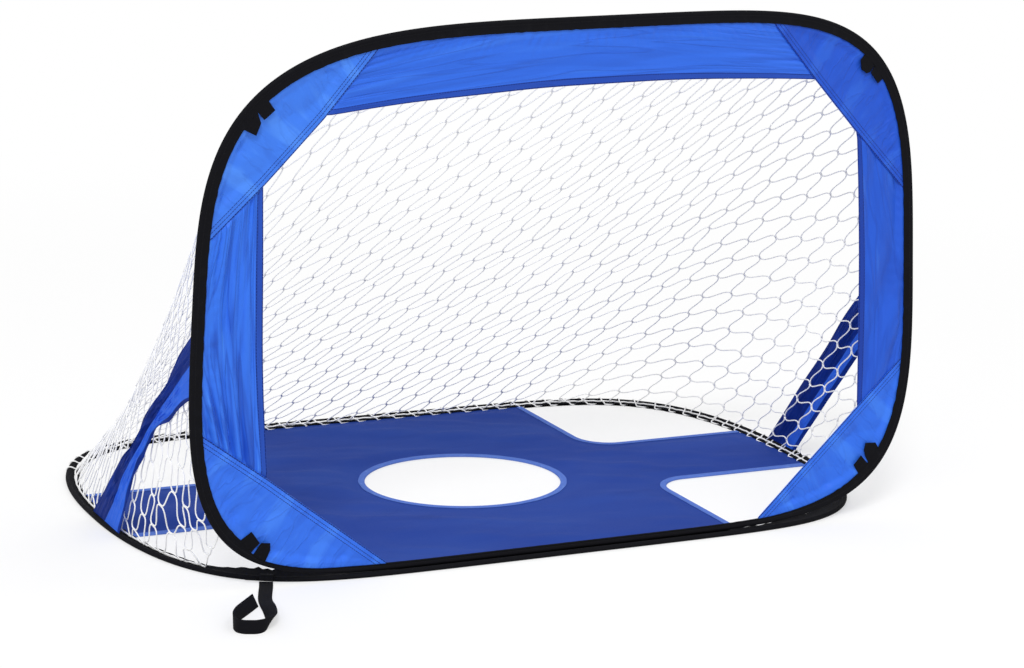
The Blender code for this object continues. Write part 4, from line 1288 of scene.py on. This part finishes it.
# Each tab: a place on the loop, then its root, its shoulders if it has any and its tip,
# each as two points, along the loop and into the mouth. The root is drawn to the binding's edge.
TAB_SHAPES = {
    "top_left_square": ((-0.5361, 0.7120), ((-0.0103, 0.0185), (0.0108, 0.0185)),
                          ((-0.0105, 0.0337), (0.0097, 0.0349))),
    "top_left_pointed": ((-0.5603, 0.6862), ((-0.0124, 0.0185), (0.0182, 0.0185)),
                          ((-0.0077, 0.0387), (0.0097, 0.0330))),
    "top_right_pointed": ((0.5397, 0.7269), ((-0.0139, 0.0185), (0.0122, 0.0185)),
                          ((-0.0145, 0.0301), (0.0122, 0.0322)),
                          ((-0.0039, 0.0402), (0.0079, 0.0382))),
    "top_right_square": ((0.5612, 0.7036), ((-0.0150, 0.0185), (0.0112, 0.0185)),
                          ((-0.0117, 0.0318), (0.0099, 0.0311))),
    "bottom_left_square": ((-0.5265, 0.0530), ((-0.0112, 0.0120), (0.0158, 0.0120)),
                          ((-0.0134, 0.0297), (0.0078, 0.0367))),
    "bottom_left_pointed": ((-0.5023, 0.0385), ((-0.0086, 0.0080), (0.0136, 0.0080)),
                          ((-0.0080, 0.0250), (0.0103, 0.0290)),
                            ((-0.0025, 0.0344), (0.0098, 0.0302))),
    "bottom_right_pointed": ((0.5517, 0.0838), ((-0.0135, 0.0185), (0.0146, 0.0185)),
                          ((-0.0163, 0.0283), (0.0116, 0.0285)),
                             ((-0.0049, 0.0436), (0.0054, 0.0384))),
    "bottom_right_square": ((0.5295, 0.0631), ((-0.0111, 0.0185), (0.0109, 0.0185)),
                          ((-0.0096, 0.0368), (0.0097, 0.0348))),
}
tab_clear = 0.0002
tab_thick = 0.0012
tab_bend = (-0.0012, 0.0018)


def make_tab(corner, kind, look):
    """A short stiff tab of webbing that starts at the binding's inner edge and curves a little out from the
    frame toward its tip.
    """
    place, *shape = TAB_SHAPES[corner + "_" + kind]
    i = int(np.argmin(np.linalg.norm(front_line - np.array(place), axis=1)))
    inward = front_in[i]
    side = np.array([-inward[1], inward[0]])
    rows = []
    for first, last in zip(shape, shape[1:]):
        first, last = np.array(first), np.array(last)
        rows += [first + (last - first) * k / 12 for k in range(12)]
    rows = np.array(rows + [np.array(shape[-1])])
    share = np.linspace(0, 1, 15)[None, :, None]
    local = rows[:, :1] * (1 - share) + rows[:, 1:] * share
    near = front_line[max(i - 8, 0):i + 9]
    for j in range(local.shape[1]):
        for _ in range(3):
            spot = front_line[i] + side * local[0, j, 0] + inward * local[0, j, 1]
            gap = np.linalg.norm(near - spot, axis=1)
            local[0, j, 1] += front_width(near[int(np.argmin(gap))]) + tab_clear - float(gap.min())
    spots = front_line[i] + side * local[..., :1] + inward * local[..., 1:]
    far = np.linspace(0, 1, len(rows))[:, None]
    round_over = (2 * share[..., 0] - 1) ** 2
    depth = -(leg_in + 0.0006 + 0.0009 * far ** 2 + 0.0003 * (1 - round_over))
    piece = cloth_piece("webbing_tab_" + corner + "_" + kind, on_front(spots, depth), tab_thick, look, local)
    node = "tab_" + corner + "_" + kind
    pivot = next(joint["pos_m"] for joint in frame["joints"] if joint["child"] == node)
    reach = float(np.dot(np.array([pivot[0], pivot[2]]) - front_line[i], inward))
    start, end = (on_front(front_line[i] + inward * (reach + step), np.array(-leg_out)) for step in tab_bend)
    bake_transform(piece)
    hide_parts(node)


strap_width = 0.020
strap_thick = 0.0016
strap_x = -0.476
strap_seat = 0.0007


def smooth_line(stops, per_span):
    """A smooth curve through all stops."""
    stops = np.array(stops)
    padded = np.vstack([2 * stops[0] - stops[1], stops, 2 * stops[-1] - stops[-2]])
    made = []
    for i in range(1, len(padded) - 2):
        a, b, c, d = padded[i - 1:i + 3]
        for k in range(per_span):
            t = k / per_span
            made.append(0.5 * (2 * b + (c - a) * t + (2 * a - 5 * b + 4 * c - d) * t * t
                               + (3 * b - a - 3 * c + d) * t ** 3))
    made.append(stops[-1])
    return np.array(made)


def make_straps(look):
    """The ground strap: sewn over the binding, flat on the ground, then on edge and closed into a loop."""
    place = crossing(floor_line, (strap_x, -1.0), (strap_x, 1.0), (strap_x, 0.0))
    edge = point_on(floor_line, place)
    out = -point_on(floor_in, place)
    out /= np.linalg.norm(out)
    half = strap_thick / 2
    over, on_leg = bead_z + strap_seat + half, flange_z + strap_seat + half
    sewn = [(-0.017, on_leg, 0.0), (-floor_shoulder - 0.0022, on_leg + 0.0012, 0.0),
            (-bead - 0.0034, over - 0.0002, 0.0), (-0.0020, over - 0.0001, 0.0),
            (0.00135, over - 0.0026, 0.0), (0.0030, bead, 0.0), (0.0032, 3 * half, 0.0)]
    sewn = [(s, -strap_width / 2, z, roll) for s, z, roll in sewn]
    free = [(0.0040, -0.0100, 0.0), (0.0262, -0.0075, 0.0), (0.0491, -0.0057, 0.0), (0.0730, -0.0034, 0.0),
            (0.0908, -0.0005, 5.0), (0.1084, 0.0038, 14.0), (0.1298, 0.0101, 25.0), (0.1532, 0.0159, 34.0),
            (0.1767, 0.0210, 47.0), (0.1966, 0.0232, 66.0), (0.2101, 0.0207, 84.0), (0.2181, 0.0133, 90.0),
            (0.2204, 0.0035, 90.0), (0.2207, -0.0065, 90.0), (0.2148, -0.0159, 90.0), (0.2004, -0.0213, 88.0),
            (0.1832, -0.0205, 80.0), (0.1654, -0.0158, 70.0), (0.1475, -0.0100, 64.0),
            (0.1286, -0.0042, 62.0), (0.1092, 0.0013, 62.0)]
    free = [(s, l, half, roll) for s, l, roll in free]
    for name, node, stops, body in (("sewn_strap", "strap_root", sewn, FLOOR),
                                    ("loose_strap", "ground_strap", free, "ground_strap")):
        piece = swept(name, ribbon_rings(stops, edge, out), False, look, cloth_crease)
        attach(piece, body)
        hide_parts(node)


def ribbon_rings(stops, edge, out):
    """Rings of flat webbing along stops (outward, sideways, height, roll), where roll lifts it on edge."""
    side = np.array([-out[1], out[0]])
    half = strap_thick / 2
    line = smooth_line(stops, 9)
    rings = []
    for i, (s, l, z, roll) in enumerate(line):
        before, after = line[max(i - 1, 0)], line[min(i + 1, len(line) - 1)]
        plan = out * (after[0] - before[0]) + side * (after[1] - before[1])
        way = np.array([plan[0], plan[1], after[2] - before[2] if roll < 1.0 else 0.0])
        way /= np.linalg.norm(way)
        level = np.array([-plan[1], plan[0], 0.0]) / np.linalg.norm(plan)
        rise = np.cross(way, level)
        rise = rise if rise[2] > 0 else -rise
        angle = math.radians(min(max(roll, 0.0), 90.0))
        wide = level * math.cos(angle) + rise * math.sin(angle)
        thin = rise * math.cos(angle) - level * math.sin(angle)
        height = max(z, half)
        if roll > 0.5:
            height = half * math.cos(angle) + strap_width / 2 * math.sin(angle)
        spot = edge + out * s + side * l + level[:2] * (strap_width / 2 * math.cos(angle))
        centre = np.array([spot[0], spot[1], height])
        ring = []
        for w, t in ((-1, -0.5), (-0.94, -1), (-0.5, -0.92), (0, -1), (0.5, -0.92), (0.94, -1), (1, -0.5),
                     (1, 0.5), (0.94, 1), (0.5, 0.92), (0, 1), (-0.5, 0.92), (-0.94, 1), (-1, 0.5)):
            ring.append(centre + wide * w * strap_width / 2 + thin * t * half)
        rings.append(ring)
    return rings


def make_hinge_tape(look):
    """The cloth tape behind both bindings that the frame folds on."""
    axis_z = 0.0086067
    flange_y = floor_binding_width - floor_lead
    foot_z = sheet_z + cloth / 2 + tape_gap
    back = bead + 2 * tape_gap
    rings = []
    for x in np.linspace(-0.28, 0.28, 90):
        ahead = height_at(floor_line, x) + floor_lead
        lift = height_at(front_line, x) - front_line[0][1]
        edge = flange_y + ahead + 2 * tape_gap
        upper = on_front(np.array([x, 0.0130 + lift]), np.array(back + 0.0010))
        lower = on_front(np.array([x, 0.0130 + lift]), np.array(back))
        bend = on_front(np.array([x, axis_z + lift]), np.array(back))
        rings.append([(x, edge + 0.012, foot_z), (x, edge + 0.012, foot_z + 0.001),
                      (x, edge + 0.0013, foot_z + 0.001), tuple(upper), tuple(lower), tuple(bend),
                      (x, edge, flange_z + tape_gap), (x, edge, foot_z)])
    piece = swept("fold_tape", rings, False, look, tape_crease)
    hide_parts("hinge_tape")
    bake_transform(piece)


def height_at(line, x):
    """How far up or back a loop's lower edge is at x."""
    low = line[line[:, 1] < line[:, 1].min() + 0.1]
    order = np.argsort(low[:, 0])
    return float(np.interp(x, low[order, 0], low[order, 1]))


# Camera, light and ground.

def make_camera():
    azimuth, elevation, roll = math.radians(26.9113), math.radians(13.5146), math.radians(2.3205)
    aim = Vector((-0.009, 0.2, 0.2887))
    distance = 4.2906
    focal_pixels, photo_width, sensor = 2804.76, 1024, 36.0
    ahead = Vector((math.sin(azimuth) * math.cos(elevation), math.cos(azimuth) * math.cos(elevation),
                    -math.sin(elevation)))
    right = Vector((math.cos(azimuth), -math.sin(azimuth), 0.0))
    up = right.cross(ahead)
    across = right * math.cos(roll) + up * math.sin(roll)
    rise = up * math.cos(roll) - right * math.sin(roll)
    data = bpy.data.cameras.new("studio_camera")
    data.sensor_width = sensor
    data.lens = focal_pixels * sensor / photo_width
    data.clip_end = 200.0
    camera = bpy.data.objects.new("studio_camera", data)
    turned = Matrix((across, rise, -ahead)).transposed().to_4x4()
    turned.translation = aim - ahead * distance
    camera.matrix_world = turned
    bpy.context.scene.collection.objects.link(camera)
    bpy.context.scene.camera = camera


def add_lamp(name, kind, energy, place, aim, size):
    data = bpy.data.lights.new(name, kind)
    data.energy = energy
    if kind == "SUN":
        data.angle = math.radians(size)
    else:
        data.shape = "RECTANGLE"
        data.size, data.size_y = size
    lamp = bpy.data.objects.new(name, data)
    lamp.location = place
    lamp.rotation_euler = (Vector(aim) - Vector(place)).to_track_quat("-Z", "Y").to_euler()
    bpy.context.scene.collection.objects.link(lamp)


def make_studio():
    world = bpy.data.worlds.new("studio_air")
    bpy.context.scene.world = world
    world.use_nodes = True
    tree = world.node_tree
    flow = Flow(tree)
    tree.nodes.clear()
    seen = flow.node("ShaderNodeLightPath", None, None, 0)
    glossy = flow.node("ShaderNodeLightPath", None, None, 3)
    clear = flow.node("ShaderNodeLightPath", None, None, 6)
    white = (seen + glossy + clear).least(1.0)
    strength = 0.66 + white * 0.34
    air = flow.node("ShaderNodeBackground", None, {"Color": (1.0, 1.0, 1.0, 1.0), "Strength": strength})
    flow.node("ShaderNodeOutputWorld", None, {0: air})

    mesh = bpy.data.meshes.new("studio_floor")
    side = 40.0
    border = [(-side, -side, 0), (side, -side, 0), (side, side, 0), (-side, side, 0)]
    mesh.from_pydata(border, [], [(0, 1, 2, 3)])
    look = Look("studio_floor_paint", Roughness=0.9, Specular_IOR_Level=0.1)
    tree = look.tree
    spot = look.flow.node("ShaderNodeTexCoord", None, None, 3)
    away = look.flow.node("ShaderNodeVectorMath", {"operation": "DISTANCE"}, {0: spot, 1: (0.0, 0.4, 0.0)}, 1)
    far = away.ramp(1.2, 3.0)
    seen = look.flow.node("ShaderNodeLightPath", None, None, 0)
    look.set("Base Color", look.colours(seen, (0.80, 0.80, 0.80), (0.985, 0.985, 0.985)))
    glow = look.flow.node("ShaderNodeEmission", None, {"Color": (1.0, 1.0, 1.0, 1.0), "Strength": 1.0})
    plain = Flow(tree, look.shader.outputs[0])
    mixed = look.flow.node("ShaderNodeMixShader", None, {0: seen * (0.50 + far * 0.50), 1: plain, 2: glow})
    out = [n for n in tree.nodes if n.type == "OUTPUT_MATERIAL"][0]
    tree.links.new(mixed.socket, out.inputs[0])
    mesh.materials.append(look.material)
    ground = bpy.data.objects.new("studio_floor", mesh)
    bpy.context.scene.collection.objects.link(ground)

    add_lamp("key_sun", "SUN", 1.15, (-2.0, -3.0, 4.5), (0.0, 0.2, 0.2), 14.0)
    add_lamp("left_softbox", "AREA", 16.0, (-2.6, -2.4, 1.8), (-0.2, 0.1, 0.4), (1.2, 1.8))
    add_lamp("top_softbox", "AREA", 10.0, (0.8, -1.0, 2.8), (0.0, 0.2, 0.3), (2.0, 1.2))


def main():
    scene = bpy.context.scene
    scene.view_settings.view_transform = "Standard"
    make_camera()
    binding_look = ribbed_tape("black_binding_tape", BLACK, BLACK_WORN, 0.0011, 0.35, (0.003,))
    webbing_look = ribbed_tape("black_webbing", BLACK, BLACK_WORN, 0.0017, 0.45)
    edge_look = ribbed_tape("light_blue_edge_tape", (0.100, 0.190, 0.600), (0.180, 0.300, 0.720), 0.0012, 0.5)
    hem_rows, seam_rows = (0.0010, 0.0098), (0.0010, 0.0070, 0.0120)
    # The last numbers of each satin scale its colours to paint how lit or shaded that strip is.
    top_look = satin_cloth("royal_satin_top", hem_width, hem_rows, (3.0, 38.0), (3.0, 44.0),
                           (0.20, 0.22), 0.20, 0.0022, (0.82, 0.89, 0.87))
    left_look = satin_cloth("royal_satin_left", hem_width, hem_rows, (3.2, 46.0), (4.0, 60.0),
                            (0.75, 0.75), 0.45, 0.0050, (0.97, 1.05, 0.94))
    right_look = satin_cloth("royal_satin_right", hem_width, hem_rows, (6.0, 20.0), (5.0, 26.0),
                             (0.25, 0.50), 0.22, 0.0035, (0.50, 0.61, 0.71))
    corner_look = {}
    # How lit or shaded each corner piece is, painted into its colours.
    corner_painted_light = {"top_left": (1.34, 1.22, 0.96), "top_right": (0.44, 0.55, 0.69),
                    "bottom_left": (1.02, 1.05, 0.97), "bottom_right": (0.84, 0.94, 0.90)}
    for corner, painted_light in corner_painted_light.items():
        corner_look[corner] = satin_cloth("royal_satin_" + corner, 0.0, seam_rows, (30.0, 7.0), (36.0, 12.0),
                                          (0.20, 0.40), 0.07, 0.0030, painted_light)
    make_bindings(binding_look)
    make_surround(top_look, left_look, right_look, corner_look)
    make_target(target_cloth("navy_target_cloth"), edge_look)
    make_brace("left", brace_satin("brace_satin_left", 0.12, BRACES["left"][-1], 0.050))
    make_brace("right", brace_satin("brace_satin_right", 0.03, BRACES["right"][-1], 0.095))
    twine_look = twisted_twine("white_net_twine")
    make_net(twine_look)
    make_lacing(twine_look)
    for corner in CORNERS:
        for kind in ("square", "pointed"):
            make_tab(corner, kind, webbing_look)
    make_straps(webbing_look)
    make_hinge_tape(binding_look)
    steel = bare_metal("spring_steel", (0.36, 0.36, 0.37), (0.26, 0.25, 0.24), 0.28)
    zinc = bare_metal("plated_ferrule", (0.62, 0.62, 0.64), (0.50, 0.50, 0.50), 0.34)
    for node, look in (("floor_spring_wire", steel), ("front_spring_wire", steel),
                       ("floor_wire_ferrule", zinc), ("front_wire_ferrule", zinc)):
        for held in frame["nodes"][node].material_slots:
            held.material = look
    make_studio()


main()
